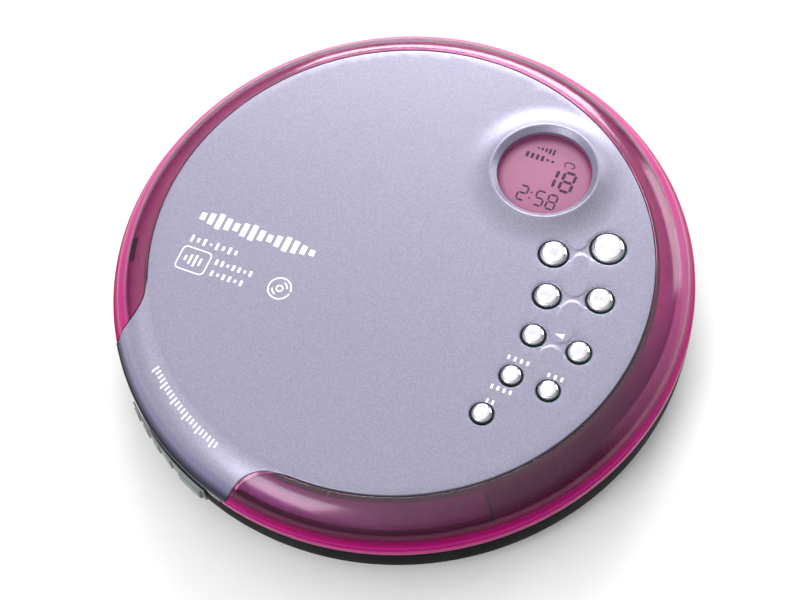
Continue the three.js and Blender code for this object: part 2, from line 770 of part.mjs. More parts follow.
function batterySpring() {
  return join(terminalPlate(1, [CELL_Y[1] - 4.4, CELL_Y[1] + 4.4]), terminalCoil(1, CELL_Y[1]));
}

// ---- Materials --------------------------------------------------------------------------------------

function material(color, roughness, metalness = 0, opacity = 1) {
  return new THREE.MeshStandardMaterial({ color, roughness, metalness, opacity, transparent: opacity < 1 });
}

const LAVENDER = material(0xb4b0cf, 0.45);
const MAGENTA = material(0xc01577, 0.12, 0, 0.6);
const BLACK = material(0x0c0b0f, 0.35);
const CHARCOAL = material(0x3a3440, 0.5);
const NAVY = material(0x1d1a2c, 0.35);
const SILVER = material(0x8f9a98, 0.4, 0.2);
const CHROME = material(0xf0eef6, 0.12, 1);
const STEEL = material(0xb8bcc0, 0.3, 1);
const RUBBER = material(0x1b1b1d, 0.85);
const BOARD_GREEN = material(0x1e5a3a, 0.5);
const CHIP = material(0x17171a, 0.5);
const NYLON = material(0xe8e4da, 0.45);
const GLASS = material(0x9fb6e8, 0.05, 0, 0.5);
const WINDOW = material(0xc97bb0, 0.1, 0, 0.7);
const PANEL = material(0xcf8fb8, 0.3);
const GOLD = material(0xc9a35a, 0.3, 1);

// ---- Assembly ---------------------------------------------------------------------------------------

const player = new THREE.Group();

// Adds a named piece to a group, from a solid.
function add(group, name, made, finish) {
  const { numProp, vertProperties, triVerts } = made.getMesh();
  const geometry = new THREE.BufferGeometry();
  geometry.setAttribute("position", new THREE.BufferAttribute(Float32Array.from(vertProperties), numProp));
  geometry.setIndex(new THREE.BufferAttribute(Uint32Array.from(triVerts), 1));
  geometry.computeVertexNormals();
  const mesh = new THREE.Mesh(geometry, finish);
  mesh.name = name;
  group.add(mesh);
  return mesh;
}

const base = new THREE.Group();
add(base, "bottom_case", bottomCase(), BLACK);
add(base, "battery_door", batteryDoor(), BLACK);
add(base, "cabinet_ring", cabinetRing(), MAGENTA);
add(base, "latch_housing", latchHousing(), NAVY);
add(base, "disc_tray", discTray(), CHARCOAL);
add(base, "lid_switch", lidSwitch(), BLACK);
add(base, "open_slider", openSlider(), SILVER);
add(base, "hold_switch", holdSwitch(), SILVER);
add(base, "hinge_pin", hingePin(), STEEL);
add(base, "hinge_spring", hingeSpring(), STEEL);
FEET.forEach((place, i) => add(base, `rubber_foot_${i + 1}`, rubberFoot(place), RUBBER));

// The slider's return spring lies along the rim, inside the wall.
const springAngle = LOBE_ANGLE + 10.5;
const spring = add(base, "latch_spring", latchSpring(), STEEL);
spring.position.set(...polar(63.4, springAngle), 10.6);
spring.rotation.z = radians(springAngle + 90);

const mechanism = new THREE.Group();
add(mechanism, "traverse_chassis", traverseChassis(), STEEL);
DAMPERS.forEach((place, i) => add(mechanism, `chassis_damper_${i + 1}`, chassisDamper(place), RUBBER));
add(mechanism, "spindle_motor", spindleMotor(), STEEL);
add(mechanism, "turntable", turntable(), BLACK);
add(mechanism, "main_guide_rod", guideRod(-ROD_X), STEEL);
add(mechanism, "second_guide_rod", guideRod(ROD_X), STEEL);
add(mechanism, "pickup_sled", pickupSled(), CHIP);
add(mechanism, "pickup_cover", pickupCover(), CHARCOAL);
add(mechanism, "objective_lens", objectiveLens(), GLASS);
add(mechanism, "sled_rack", sledRack(), NYLON);
add(mechanism, "feed_gear", feedGear(), NYLON);
add(mechanism, "feed_gear_shaft", feedGearShaft(), STEEL);
add(mechanism, "motor_pinion", motorPinion(), GOLD);
add(mechanism, "feed_motor", feedMotor(), STEEL);

const electronics = new THREE.Group();
add(electronics, "main_board", mainBoard(), BOARD_GREEN);
add(electronics, "decoder_chip", chip([-16, -20], [14, 14], 1.4), CHIP);
add(electronics, "servo_chip", chip([2, -38], [9, 9], 1.2), CHIP);
add(electronics, "headphone_jack", jack(HEADPHONE_ANGLE, 2.4, 1.8), CHIP);
add(electronics, "dc_jack", jack(DC_ANGLE, 3, 2.3), CHIP);
add(electronics, "dc_jack_pin", dcPin(), GOLD);
add(electronics, "battery_bridge", batteryBridge(), STEEL);
add(electronics, "battery_contact", batteryContact(), STEEL);
add(electronics, "battery_spring", batterySpring(), STEEL);

const lid = new THREE.Group();
add(lid, "lid_ring", lidRing(), MAGENTA);
add(lid, "lid_plate", lidPlate(), LAVENDER);
add(lid, "lid_liner", lidLiner(), CHARCOAL);
add(lid, "display_window", displayWindow(), WINDOW);
add(lid, "display_panel", displayPanel(), PANEL);
add(lid, "switch_board", switchBoard(), BOARD_GREEN);
for (const [name, place] of Object.entries(KEYS)) add(lid, name, key(place), CHROME);

player.add(base, mechanism, electronics, lid);

export default player;
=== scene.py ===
"""Looks of a round portable CD player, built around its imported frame. Lengths are in millimetres until a
mesh is made, angles in degrees run counterclockwise from +X, and the front of the player is at -Y."""
import json
import math

import bmesh
import bpy
import numpy as np
from mathutils import Matrix, Vector
from mathutils.geometry import delaunay_2d_cdt


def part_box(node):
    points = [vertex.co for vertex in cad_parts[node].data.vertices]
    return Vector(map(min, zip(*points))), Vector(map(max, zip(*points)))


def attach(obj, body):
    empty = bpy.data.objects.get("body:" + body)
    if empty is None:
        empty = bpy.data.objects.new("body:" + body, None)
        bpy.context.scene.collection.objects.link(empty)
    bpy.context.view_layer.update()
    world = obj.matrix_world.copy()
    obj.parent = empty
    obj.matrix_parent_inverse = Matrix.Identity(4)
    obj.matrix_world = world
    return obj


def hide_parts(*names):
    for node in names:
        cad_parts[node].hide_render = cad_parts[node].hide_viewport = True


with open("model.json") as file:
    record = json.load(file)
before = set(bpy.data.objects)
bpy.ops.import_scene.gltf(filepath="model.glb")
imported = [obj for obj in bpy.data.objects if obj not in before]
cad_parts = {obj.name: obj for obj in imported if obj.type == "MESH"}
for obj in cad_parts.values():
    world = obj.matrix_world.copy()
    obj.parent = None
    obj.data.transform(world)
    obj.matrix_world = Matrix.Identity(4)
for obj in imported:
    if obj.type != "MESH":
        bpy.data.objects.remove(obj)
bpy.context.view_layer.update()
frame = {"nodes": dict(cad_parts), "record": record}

MM = 0.001


# ---- Sizes read from the frame -----------------------------------------------------------------------

def low(node):
    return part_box(node)[0] / MM


def high(node):
    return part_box(node)[1] / MM


def middle(node):
    return (low(node) + high(node)) / 2


RADIUS = high("bottom_case").x
FLOOR = low("bottom_case").z
CABINET_TOP = high("latch_housing").z
LID_BOTTOM = CABINET_TOP + 0.3
PLATE_RADIUS = high("lid_plate").x
TRAY_BOTTOM = low("disc_tray").z + 13.8 # the bosses under the tray are this long
TRAY_TOP = TRAY_BOTTOM + 0.7
DISPLAY = middle("display_window").xy
WINDOW_RADIUS = high("display_panel").x - DISPLAY.x
WINDOW_TOP = high("display_window").z
CREST = high("lid_plate").z

# Sizes that the boxes don't give, as in the CAD source.
GAP = 0.3
CASE_TOP = 13.5
PLATE_EDGE = 24.5
CROWN = 1.2
LOBE_ANGLE = -122.5
LOBE_ROOT = 31.3
LOBE_FILLET = 12
LOBE_FLARE = 60
HOUSING_HALF = 19.8
KEY_GAP = 0.35
HINGE = Vector((0, 65.6, 16))
KNUCKLE_RADIUS = 1.7
KNUCKLE_BORE = 0.95
POCKET_RADIUS = KNUCKLE_RADIUS + GAP
LID_KNUCKLE = (6.6, 11.6) # along X, on both sides
CABINET_KNUCKLE = (3.4, 6.3)
JACK_HEIGHT = 8.2
JACK_HOLES = ((165, 2.7), (150, 3.3)) # angle and radius
SCREWS = [(side * x, y) for x, y in ((38, 40), (53, 2), (42, -38)) for side in (-1, 1)]
HOLD_ANGLE = math.degrees(math.atan2(middle("hold_switch").y, middle("hold_switch").x))
KNOB_BACK, KNOB_FACE, RIB_FACE, GRIP_FACE = 68.2, 68.6, 68.9, 69.3
KNOB_ROOT = KNOB_FACE - 0.2
HOOK_BOTTOM = 10.6
HINGE_GAP = (72, 108) # the thin strips inside the rim stop here
SEAM_ANGLE = -48.6 # where the two halves of the ring's lining meet
KEYS = [node for node in frame["nodes"] if node.endswith("_button")]
PAIRS = [
    ("stop_button", "play_button"),
    ("skip_back_button", "skip_forward_button"),
    ("volume_down_button", "volume_up_button"),
]


# ---- Geometry helpers --------------------------------------------------------------------------------

def polar(radius, angle, at=(0, 0)):
    return at[0] + radius * math.cos(math.radians(angle)), at[1] + radius * math.sin(math.radians(angle))


def bezier(start, control, end, steps):
    t = np.linspace(0, 1, steps + 1)[:, None]
    start, control, end = map(np.array, (start, control, end))
    return (1 - t) ** 2 * start + 2 * t * (1 - t) * control + t**2 * end


def smooth_step(t):
    t = np.clip(t, 0, 1)
    return t * t * (3 - 2 * t)


def rounded(points, steps=4):
    """A closed outline of (x, y) or (x, y, fillet radius) points with its corners rounded."""
    made = []
    count = len(points)
    for i, point in enumerate(points):
        here = np.array(point[:2], float)
        radius = point[2] if len(point) > 2 else 0
        before = np.array(points[i - 1][:2], float) - here
        after = np.array(points[(i + 1) % count][:2], float) - here
        if radius <= 0:
            made.append(here)
            continue
        one, two = np.linalg.norm(before), np.linalg.norm(after)
        cosine = np.clip(before @ after / (one * two), -1, 1)
        reach = min(radius / math.tan(math.acos(cosine) / 2), one * 0.49, two * 0.49)
        made.extend(bezier(here + before / one * reach, here, here + after / two * reach, steps))
    return [tuple(p) for p in made]


def mesh_piece(name, points, faces, sharp=32):
    """An object from points in millimetres, welded, faces pointing out, smooth below an angle."""
    mesh = bpy.data.meshes.new(name)
    mesh.from_pydata([(x * MM, y * MM, z * MM) for x, y, z in points], [], faces)
    work = bmesh.new()
    work.from_mesh(mesh)
    bmesh.ops.remove_doubles(work, verts=work.verts, dist=0.002 * MM)
    bmesh.ops.dissolve_degenerate(work, edges=work.edges, dist=0.0005 * MM)
    bmesh.ops.recalc_face_normals(work, faces=work.faces)
    work.to_mesh(mesh)
    work.free()
    piece = linked(name, mesh)
    shade(piece, sharp)
    return piece


def shade(piece, sharp=32):
    piece.data.shade_smooth()
    piece.data.set_sharp_from_angle(angle=math.radians(sharp))


def strips(rings, closed=True):
    """Points and faces of a skin through rings that have the same number of points."""
    count = len(rings[0])
    points = [tuple(p) for ring in rings for p in ring]
    faces = []
    for i in range(len(rings) - 1):
        for j in range(count if closed else count - 1):
            k = (j + 1) % count
            faces.append((i * count + j, i * count + k, (i + 1) * count + k, (i + 1) * count + j))
    return points, faces


def lathe(name, profile, steps=160, at=(0, 0), sharp=32):
    """A closed profile of (radius, z) points turned round an upright axis."""
    turns = [2 * math.pi * i / steps for i in range(steps)]
    ring = lambda a: [(at[0] + r * math.cos(a), at[1] + r * math.sin(a), z) for r, z in profile]
    points, faces = strips([ring(a) for a in turns] + [ring(0)])
    return mesh_piece(name, points, faces, sharp)


def sector(name, profile, start, end, steps, sharp=32):
    """A closed profile of (radius, z) points swept between two angles, which may depend on the radius."""
    first = start if callable(start) else lambda radius: start
    last = end if callable(end) else lambda radius: end
    rings = []
    for i in range(steps + 1):
        t = i / steps
        angles = [first(r) * (1 - t) + last(r) * t for r, _ in profile]
        rings.append([(*polar(r, a), z) for (r, z), a in zip(profile, angles)])
    points, faces = strips(rings)
    count = len(profile)
    cap = [tuple(face) for face in flat_faces(profile)]
    faces += cap
    faces += [tuple(steps * count + i for i in reversed(face)) for face in cap]
    return mesh_piece(name, points, faces, sharp)


def flat_faces(outline):
    """Triangles that fill a closed outline, by the numbers of its points."""
    count = len(outline)
    edges = [(i, (i + 1) % count) for i in range(count)]
    made = delaunay_2d_cdt([Vector(p[:2]) for p in outline], edges, [], 1, 1e-5)
    origin = [ids[0] for ids in made[3]]
    return [tuple(origin[i] for i in face) for face in made[2]]


def slab(name, outline, bottom, top, bevel=0.15, sharp=32, segments=3):
    """An upright extrusion of an outline with softened edges."""
    count = len(outline)
    points = [(x, y, bottom) for x, y in outline] + [(x, y, top) for x, y in outline]
    faces = [tuple(range(count)), tuple(range(count, 2 * count))]
    faces += [(i, (i + 1) % count, count + (i + 1) % count, count + i) for i in range(count)]
    piece = mesh_piece(name, points, faces, sharp)
    if bevel:
        soften(piece, bevel, segments)
    return piece


def rectangle(x, y, corner=0.0):
    (x0, x1), (y0, y1) = x, y
    return rounded([(x0, y0, corner), (x1, y0, corner), (x1, y1, corner), (x0, y1, corner)])


def circle(radius, at=(0, 0), count=48):
    return [polar(radius, 360 * i / count, at) for i in range(count)]


def linked(name, data):
    """A new object in the scene."""
    made = bpy.data.objects.new(name, data)
    bpy.context.scene.collection.objects.link(made)
    return made


def soften(piece, width, segments=2):
    """Rounds the sharp edges of a piece, and leaves its mesh as it is."""
    bevel = piece.modifiers.new("soft_edges", "BEVEL")
    bevel.width = width * MM
    bevel.segments = segments
    bevel.limit_method = "ANGLE"
    bevel.angle_limit = math.radians(38)


def bar(name, radius, start, end, steps=32, bevel=0.0):
    """A cylinder between two points, with softened ends."""
    start, end = Vector(start), Vector(end)
    soft = (end - start).normalized() * bevel
    if not bevel:
        return tube(name, [start, end], [radius] * 2, steps)
    path = [start, start + soft, end - soft, end]
    return tube(name, path, [radius - bevel, radius, radius, radius - bevel], steps)


def radial_bar(name, radius, angle, near, far, bevel=0.0):
    """A cylinder through the case's wall, at the height of the jacks."""
    start, end = (*polar(near, angle), JACK_HEIGHT), (*polar(far, angle), JACK_HEIGHT)
    return bar(name, radius, start, end, bevel=bevel)


def hinge_bar(name, radius, start, end, bevel=0.0):
    """A cylinder on the hinge's axis, between two places along X."""
    return bar(name, radius, (start, HINGE.y, HINGE.z), (end, HINGE.y, HINGE.z), bevel=bevel)


def tube(name, path, radii, sides=12):
    """A round wire along a path of points, with a radius at each."""
    path = [Vector(p) for p in path]
    rings = []
    side = (path[1] - path[0]).orthogonal().normalized()
    for i, (here, radius) in enumerate(zip(path, radii)):
        along = (path[min(i + 1, len(path) - 1)] - path[max(i - 1, 0)]).normalized()
        side = (side - along * side.dot(along)).normalized()
        other = along.cross(side)
        turns = [2 * math.pi * j / sides for j in range(sides)]
        rings.append([here + radius * (side * math.cos(a) + other * math.sin(a)) for a in turns])
    points, faces = strips(rings)
    last = len(points)
    faces += [tuple(range(sides)), tuple(range(last - sides, last))]
    return mesh_piece(name, points, faces)


def carve(piece, tools, operation="DIFFERENCE", sharp=32):
    """Cuts pieces away from a piece, or joins them to it, and removes them."""
    for tool in tools:
        change = piece.modifiers.new("carve", "BOOLEAN")
        change.operation = operation
        change.solver = "EXACT"
        change.object = tool
    bpy.context.view_layer.update()
    evaluated = piece.evaluated_get(bpy.context.evaluated_depsgraph_get())
    made = bpy.data.meshes.new_from_object(evaluated)
    piece.modifiers.clear()
    piece.data = made
    for tool in tools:
        bpy.data.objects.remove(tool)
    shade(piece, sharp)
    return piece


# ---- Shape of the lid's skin -------------------------------------------------------------------------

SHOULDER_CORNER = (66.2, 19.6)
RIM = (67.9, 16.6)
SHOULDER = np.vstack([
    bezier((PLATE_RADIUS, PLATE_EDGE), (63, 23.6), SHOULDER_CORNER, 16),
    bezier(SHOULDER_CORNER, (66.55, 18.2), RIM, 8)[1:],
])


def crown(radius):
    return PLATE_EDGE + CROWN * (1 - (np.asarray(radius) / PLATE_RADIUS) ** 2)


def skin(radius):
    """Height of the lid's outside over its whole radius, without the mound."""
    outside = np.interp(radius, SHOULDER[:, 0], SHOULDER[:, 1])
    return np.where(np.asarray(radius) < PLATE_RADIUS, crown(radius), outside)


def lobe_half(radius):
    """Half the angle that the plate's lobe takes at a radius."""
    flare = math.radians(LOBE_FLARE)
    rise = max(0.0, radius - PLATE_RADIUS)
    bend = LOBE_FILLET * (1 - math.cos(flare))
    if rise < bend:
        run = math.sqrt(LOBE_FILLET**2 - (LOBE_FILLET - rise) ** 2)
    else:
        run = LOBE_FILLET * math.sin(flare) + (rise - bend) / math.tan(flare)
    return LOBE_ROOT - math.degrees(run / radius)


def neck_depth(x, y):
    """Depth of the shallow necks that join the recesses of two keys."""
    depth = np.zeros_like(x)
    for one, two in PAIRS:
        a, b = middle(one).xy, middle(two).xy
        along = (b - a).normalized()
        start = high(one).x - a.x + KEY_GAP
        end = (b - a).length - (high(two).x - b.x + KEY_GAP)
        forward = (x - a.x) * along.x + (y - a.y) * along.y
        side = (y - a.y) * along.x - (x - a.x) * along.y
        t = np.abs(2 * (forward - start) / (end - start) - 1)
        width = 0.42 + 1.9 * np.clip(t, 0, 1.1) ** 2.3
        slope = np.where(side > 0, 0.24, 1.2)
        inside = smooth_step((width + slope - 0.24 - np.abs(side)) / slope) * smooth_step((1.22 - t) / 0.12)
        depth = np.maximum(depth, 0.2 * inside)
    return depth


MOUND_START = WINDOW_RADIUS + 1.75
MOUND_END = 20.0


def plate_height(x, y):
    """Height of the plate's upper face: crown, mound round the display and necks between keys."""
    base = skin(np.hypot(x, y))
    distance = np.hypot(x - DISPLAY.x, y - DISPLAY.y)
    fade = np.clip(1 - (distance - MOUND_START) / (MOUND_END - MOUND_START), 0, 1) ** 2.3
    return base + (CREST - base) * fade - neck_depth(x, y)


# ---- Materials ---------------------------------------------------------------------------------------

def socket(key):
    """The shader's own name of a setting, such as Specular IOR Level for specular_ior_level."""
    return key.replace("_", " ").title().replace("Ior", "IOR")


def supply(node, values):
    """Gives each input of a node its value, or a link from another node's output."""
    for key, value in values.items():
        if isinstance(value, bpy.types.NodeSocket):
            node.id_data.links.new(value, node.inputs[key])
        else:
            node.inputs[key].default_value = value


def feed(material, **values):
    """Sets or links sockets of the material's shader."""
    surface = material.node_tree.nodes["Principled BSDF"]
    supply(surface, {socket(key): value for key, value in values.items()})


def shader(name, color, **settings):
    """A material with a Principled shader, whose plain settings go on its own sockets."""
    made = bpy.data.materials.new(name)
    made.use_nodes = True
    feed(made, base_color=(*color, 1), **settings)
    return made


def add_node(material, kind, values, **modes):
    """A new node of a material or a world, with its modes and what goes into its inputs."""
    made = material.node_tree.nodes.new(kind)
    for key, mode in modes.items():
        setattr(made, key, mode)
    supply(made, values)
    return made


def object_place(material):
    return add_node(material, "ShaderNodeTexCoord", {}).outputs["Object"]


def texture(material, kind, scale, **values):
    """A texture in the object's own coordinates, with its scale in features per millimetre."""
    return add_node(material, kind, {"Vector": object_place(material), "Scale": scale / MM, **values})


def noise(material, scale, **values):
    return texture(material, "ShaderNodeTexNoise", scale, **values).outputs["Fac"]


def ramp(material, factor, stops):
    """Colours by a factor. Each stop is a place and a colour, or a place and a shade of grey."""
    made = add_node(material, "ShaderNodeValToRGB", {"Fac": factor})
    while len(made.color_ramp.elements) < len(stops):
        made.color_ramp.elements.new(0.5)
    for element, (position, color) in zip(made.color_ramp.elements, stops):
        element.position = position
        element.color = (*color, 1) if isinstance(color, tuple) else (color, color, color, 1)
    return made.outputs["Color"]


def measured_ramp(material, value, stops):
    """Colours by a length, with the length in millimetres at each stop."""
    near, far = stops[0][0], stops[-1][0]
    share = spread(material, value, 0, 1, near * MM, far * MM)
    return ramp(material, share, [((at - near) / (far - near), color) for at, color in stops])


def radius_ramp(material, stops, centre=(0, 0)):
    """Colours by the distance from an upright axis."""
    values = {0: object_place(material), 1: (1, 1, 0), 2: (-centre[0] * MM, -centre[1] * MM, 0)}
    flat = add_node(material, "ShaderNodeVectorMath", values, operation="MULTIPLY_ADD")
    length = add_node(material, "ShaderNodeVectorMath", {0: flat.outputs["Vector"]}, operation="LENGTH")
    return measured_ramp(material, length.outputs["Value"], stops)


def height_ramp(material, stops):
    """Colours by the height above the table."""
    parts = add_node(material, "ShaderNodeSeparateXYZ", {"Vector": object_place(material)})
    return measured_ramp(material, parts.outputs["Z"], stops)


def turn_ramp(material, stops):
    """Colours by the direction round the player's axis, with an angle from -180 to 180 at each stop."""
    values = {"Vector": object_place(material)}
    turn = add_node(material, "ShaderNodeTexGradient", values, gradient_type="RADIAL")
    return ramp(material, turn.outputs["Fac"], [(angle / 360 + 0.5, color) for angle, color in stops])


def blended(material, blend, first, *others):
    """Colours mixed one after the other, by multiplying them or taking the lighter."""
    for other in others:
        values = {"Factor": 1, "A": first, "B": other}
        mix = add_node(material, "ShaderNodeMix", values, data_type="RGBA", blend_type=blend)
        first = mix.outputs["Result"]
    return first


def spread(material, factor, lowest, highest, start=0, end=1):
    """A factor from one range, by default 0 to 1, moved to another range."""
    values = {"Value": factor, "From Min": start, "From Max": end, "To Min": lowest, "To Max": highest}
    return add_node(material, "ShaderNodeMapRange", values).outputs["Result"]


def bump(material, factor, strength, depth):
    values = {"Height": factor, "Strength": strength, "Distance": depth * MM}
    feed(material, normal=add_node(material, "ShaderNodeBump", values).outputs["Normal"])


def tone(color, share):
    return tuple(min(1, c * share) for c in color)


def moulded(name, color, roughness, grain=3, relief=0.02, strength=0.2, variation=0.12, **settings):
    """Plastic or rubber: slight mottling, uneven gloss and a fine moulded texture."""
    made = shader(name, color, roughness=roughness, **settings)
    cloud = noise(made, 0.12, Detail=4.0)
    fine = noise(made, grain, Detail=2.0)
    colors = ramp(made, cloud, [(0.3, tone(color, 1 - variation)), (0.7, tone(color, 1 + variation))])
    gloss = spread(made, cloud, roughness * 0.8, roughness * 1.25)
    feed(made, base_color=colors, roughness=gloss)
    bump(made, fine, strength, relief)
    return made


def metal(name, color, roughness, grain=(0.4, 6, 6), strength=0.15):
    """Metal with fine drawn or brushed lines and uneven polish."""
    made = shader(name, color, roughness=roughness, metallic=1.0)
    values = {"Vector": object_place(made), "Scale": [g / MM for g in grain]}
    stretched = add_node(made, "ShaderNodeMapping", values).outputs["Vector"]
    values = {"Vector": stretched, "Scale": 1.0, "Detail": 3.0}
    lines = add_node(made, "ShaderNodeTexNoise", values).outputs["Fac"]
    cloud = noise(made, 0.2, Detail=3.0)
    colors = ramp(made, cloud, [(0.3, tone(color, 0.88)), (0.7, tone(color, 1.08))])
    polish = spread(made, lines, roughness * 0.75, roughness * 1.3)
    feed(made, base_color=colors, roughness=polish)
    bump(made, lines, strength, 0.01)
    return made


def lavender_paint():
    """Satin metallic paint with a fine flake, whose colour carries painted light by radius: painted shade at
    the plate's lip, a painted highlight over the lobe's slope and painted shade darkening to navy down the
    lobe's steep edge.
    """
    made = shader("lavender_paint", (0.36, 0.34, 0.47), roughness=0.4, metallic=0.45, coat_weight=0.2,
                  coat_roughness=0.38)
    flake = texture(made, "ShaderNodeTexVoronoi", 5.5)
    cloud = noise(made, 0.03, Detail=2.0)
    flakes = ramp(made, flake.outputs["Color"], [
        (0.15, (0.265, 0.252, 0.35)), (0.5, (0.305, 0.291, 0.39)), (0.9, (0.37, 0.355, 0.46))])
    # Painted light by radius: shade at the plate's lip, a highlight over the lobe's slope and navy shade
    # down its steep edge.
    fade = radius_ramp(made, [
        (PLATE_RADIUS - 0.4, (0.86, 0.86, 0.87)), (58.7, 1), (60.6, 1.16), (63, 1.14),
        (65, (1.06, 1.06, 1.1)), (66, (0.62, 0.62, 0.78)), (66.7, (0.3, 0.28, 0.44)),
        (67.2, (0.1, 0.09, 0.18)), (67.8, (0.02, 0.015, 0.04))])
    feed(made, base_color=blended(made, "MULTIPLY", flakes, fade), roughness=spread(made, cloud, 0.36, 0.44))
    bump(made, flake.outputs["Distance"], 0.12, 0.006)
    return made


def tinted_clear():
    """Clear magenta plastic: pale over the shoulder, and deeper and less clear in the wall, where the
    saturated magenta is a painted glow.
    """
    made = shader("tinted_clear", (0.82, 0.34, 0.60), roughness=0.12, ior=1.49, transmission_weight=1.0)
    flow = noise(made, 0.06, Detail=2.0, Distortion=0.4)
    tint = height_ramp(made, [(18.4, (0.60, 0.015, 0.25)), (20.4, (0.80, 0.27, 0.54))])
    # Painted shade: round the back and the sides the outer shoulder gets a deeper, darker tint, less
    # clearness and weaker reflections, which stand in for light that comes through a long way of plastic.
    turned_away = turn_ramp(made, [(-140, 0), (-118, 1), (-25, 1), (40, 0)])
    outer = radius_ramp(made, [(63.5, 1), (64.7, 0)])
    thin = blended(made, "LIGHTEN", turned_away, outer)
    depth = ramp(made, thin, [(0, (0.66, 0.08, 0.40)), (1, 1)])
    clouds = ramp(made, flow, [(0.3, 0.9), (0.7, 1)])
    feed(made, base_color=blended(made, "MULTIPLY", tint, depth, clouds))
    painted_shade_factor = ramp(made, thin, [(0, 0.15), (1, 1)])
    # Painted glow: less clear low in the wall, so that its deep magenta shows as lit plastic.
    clearness = height_ramp(made, [(16.8, 0.4), (18.2, 0.97)])
    feed(made, transmission_weight=blended(made, "MULTIPLY", clearness, painted_shade_factor))
    sheen = height_ramp(made, [(18.2, (0.85, 0.05, 0.45)), (19.56, (0.9, 0.35, 0.65)), (21.6, 1)])
    feed(made, specular_tint=sheen)
    # Painted shade of reflections: weaker round the back and the far side, where the back light would show
    # in the ring.
    polish = turn_ramp(made, [(-150, 0.22), (-110, 0.5), (45, 0.5), (75, 0.16), (170, 0.16)])
    edge = height_ramp(made, [(16.8, 0.1), (18.2, 1)])
    feed(made, specular_ior_level=blended(made, "MULTIPLY", polish, edge, painted_shade_factor))
    feed(made, roughness=spread(made, flow, 0.12, 0.17))
    bump(made, flow, 0.05, 0.05)
    return made


def lining_with_painted_light():
    """The tint under the clear ring, with fine streaks along it. Round the lid it carries painted light: a
    pale reflected haze near the lobe, painted shade at the front right and a painted highlight on the right
    side.
    """
    made = shader("lining_with_painted_light", (0.2, 0.08, 0.15), roughness=0.45)
    streaks = noise(made, 0.5, Detail=5.0)
    around = turn_ramp(made, [
        (-180, (0.66, 0.22, 0.56)), (-150, (0.66, 0.24, 0.58)), (-96, (0.46, 0.58, 0.95)),
        (-78, (0.24, 0.22, 0.40)), (SEAM_ANGLE - 0.5, (0.15, 0.11, 0.20)),
        (SEAM_ANGLE + 0.5, (0.05, 0.028, 0.055)), (-22, (0.04, 0.025, 0.045)), (-4, (0.30, 0.18, 0.34)),
        (14, (0.80, 0.62, 0.88)), (30, (0.86, 0.56, 0.82)), (52, (0.58, 0.24, 0.50)),
        (120, (0.60, 0.18, 0.46)), (180, (0.66, 0.22, 0.56))])
    grain = ramp(made, streaks, [(0.3, (0.75, 0.72, 0.75)), (0.7, 1)])
    # Painted highlight across the width: lightest in the middle, magenta at the inner edge.
    across = radius_ramp(made, [
        (59.5, (0.9, 0.25, 0.55)), (60.675, (0.8, 0.7, 0.8)), (62.79, 1), (64.2, (0.8, 0.7, 0.8))])
    feed(made, base_color=blended(made, "MULTIPLY", around, grain, across))
    return made


def clear_window():
    made = shader("display_window", (0.06, 0.01, 0.04), roughness=0.03, ior=1.46, alpha=0.1)
    feed(made, roughness=spread(made, noise(made, 0.3, Detail=2.0), 0.01, 0.04))
    return made


def display_panel():
    """The pink reflector of the liquid crystal panel, with painted shade: a little darker towards its edge,
    and most at its back edge under the bezel.
    """
    made = shader("display_panel", (0.66, 0.28, 0.45), roughness=0.5)
    # Painted shade: the ramp's centre is moved towards the front, so the back edge is darkest.
    shade_centre = DISPLAY + Vector((0.6, -1.0))
    colors = radius_ramp(made, [
        (0, (0.51, 0.20, 0.33)), (WINDOW_RADIUS * 0.86, (0.46, 0.17, 0.30)),
        (WINDOW_RADIUS * 0.97, (0.28, 0.06, 0.16)), (WINDOW_RADIUS, (0.18, 0.03, 0.10))], shade_centre)
    feed(made, base_color=colors)
    bump(made, noise(made, 9, Detail=1.0), 0.1, 0.01)
    return made


LOOKS = {
    "case_black": moulded("case_black", (0.003, 0.0025, 0.0035), 0.45, grain=5, relief=0.006, ior=1.08),
    "tinted_clear": tinted_clear(),
    "navy_plastic": moulded("navy_plastic", (0.018, 0.015, 0.035), 0.22, relief=0.006, coat_weight=0.3),
    "charcoal_plastic": moulded("charcoal_plastic", (0.045, 0.035, 0.05), 0.5, grain=6, relief=0.03,
                                strength=0.35),
    "dark_plastic": moulded("dark_plastic", (0.018, 0.018, 0.02), 0.4, grain=6, relief=0.02),
    "silver_plastic": moulded("silver_plastic", (0.20, 0.225, 0.22), 0.36, grain=8, relief=0.008,
                              metallic=0.5),
    "steel": metal("steel", (0.56, 0.57, 0.59), 0.32),
    "lens_glass": moulded("lens_glass", (0.35, 0.45, 0.95), 0.04, relief=0.001, transmission_weight=0.8,
                          ior=1.55),
    "nylon": moulded("nylon", (0.74, 0.71, 0.63), 0.42, relief=0.01),
    "brass": metal("brass", (0.78, 0.57, 0.25), 0.28),
    "circuit_board": moulded("circuit_board", (0.02, 0.13, 0.06), 0.35, grain=2, relief=0.02, variation=0.3),
    "lavender_paint": lavender_paint(),
    "display_window": clear_window(),
    "display_panel": display_panel(),
    "rubber": moulded("rubber", (0.02, 0.02, 0.02), 0.75, grain=8, relief=0.03, strength=0.4),
    "chrome": metal("chrome", (0.90, 0.88, 0.92), 0.09, grain=(1.5, 1.5, 1.5), strength=0.03),
}
LINING = lining_with_painted_light()
INK_DARK = moulded("segment_ink", (0.05, 0.01, 0.06), 0.35, relief=0.004)
VIOLET = moulded("violet_lining", (0.11, 0.03, 0.08), 0.4, relief=0.01)
RIM_TINT = moulded("display_rim_tint", (0.42, 0.004, 0.16), 0.3, relief=0.004)
INK_WHITE = moulded("white_print", (0.92, 0.90, 0.94), 0.45, relief=0.006, variation=0.03)
ETCHED = moulded("etched_mark", (0.55, 0.53, 0.60), 0.5, relief=0.006)


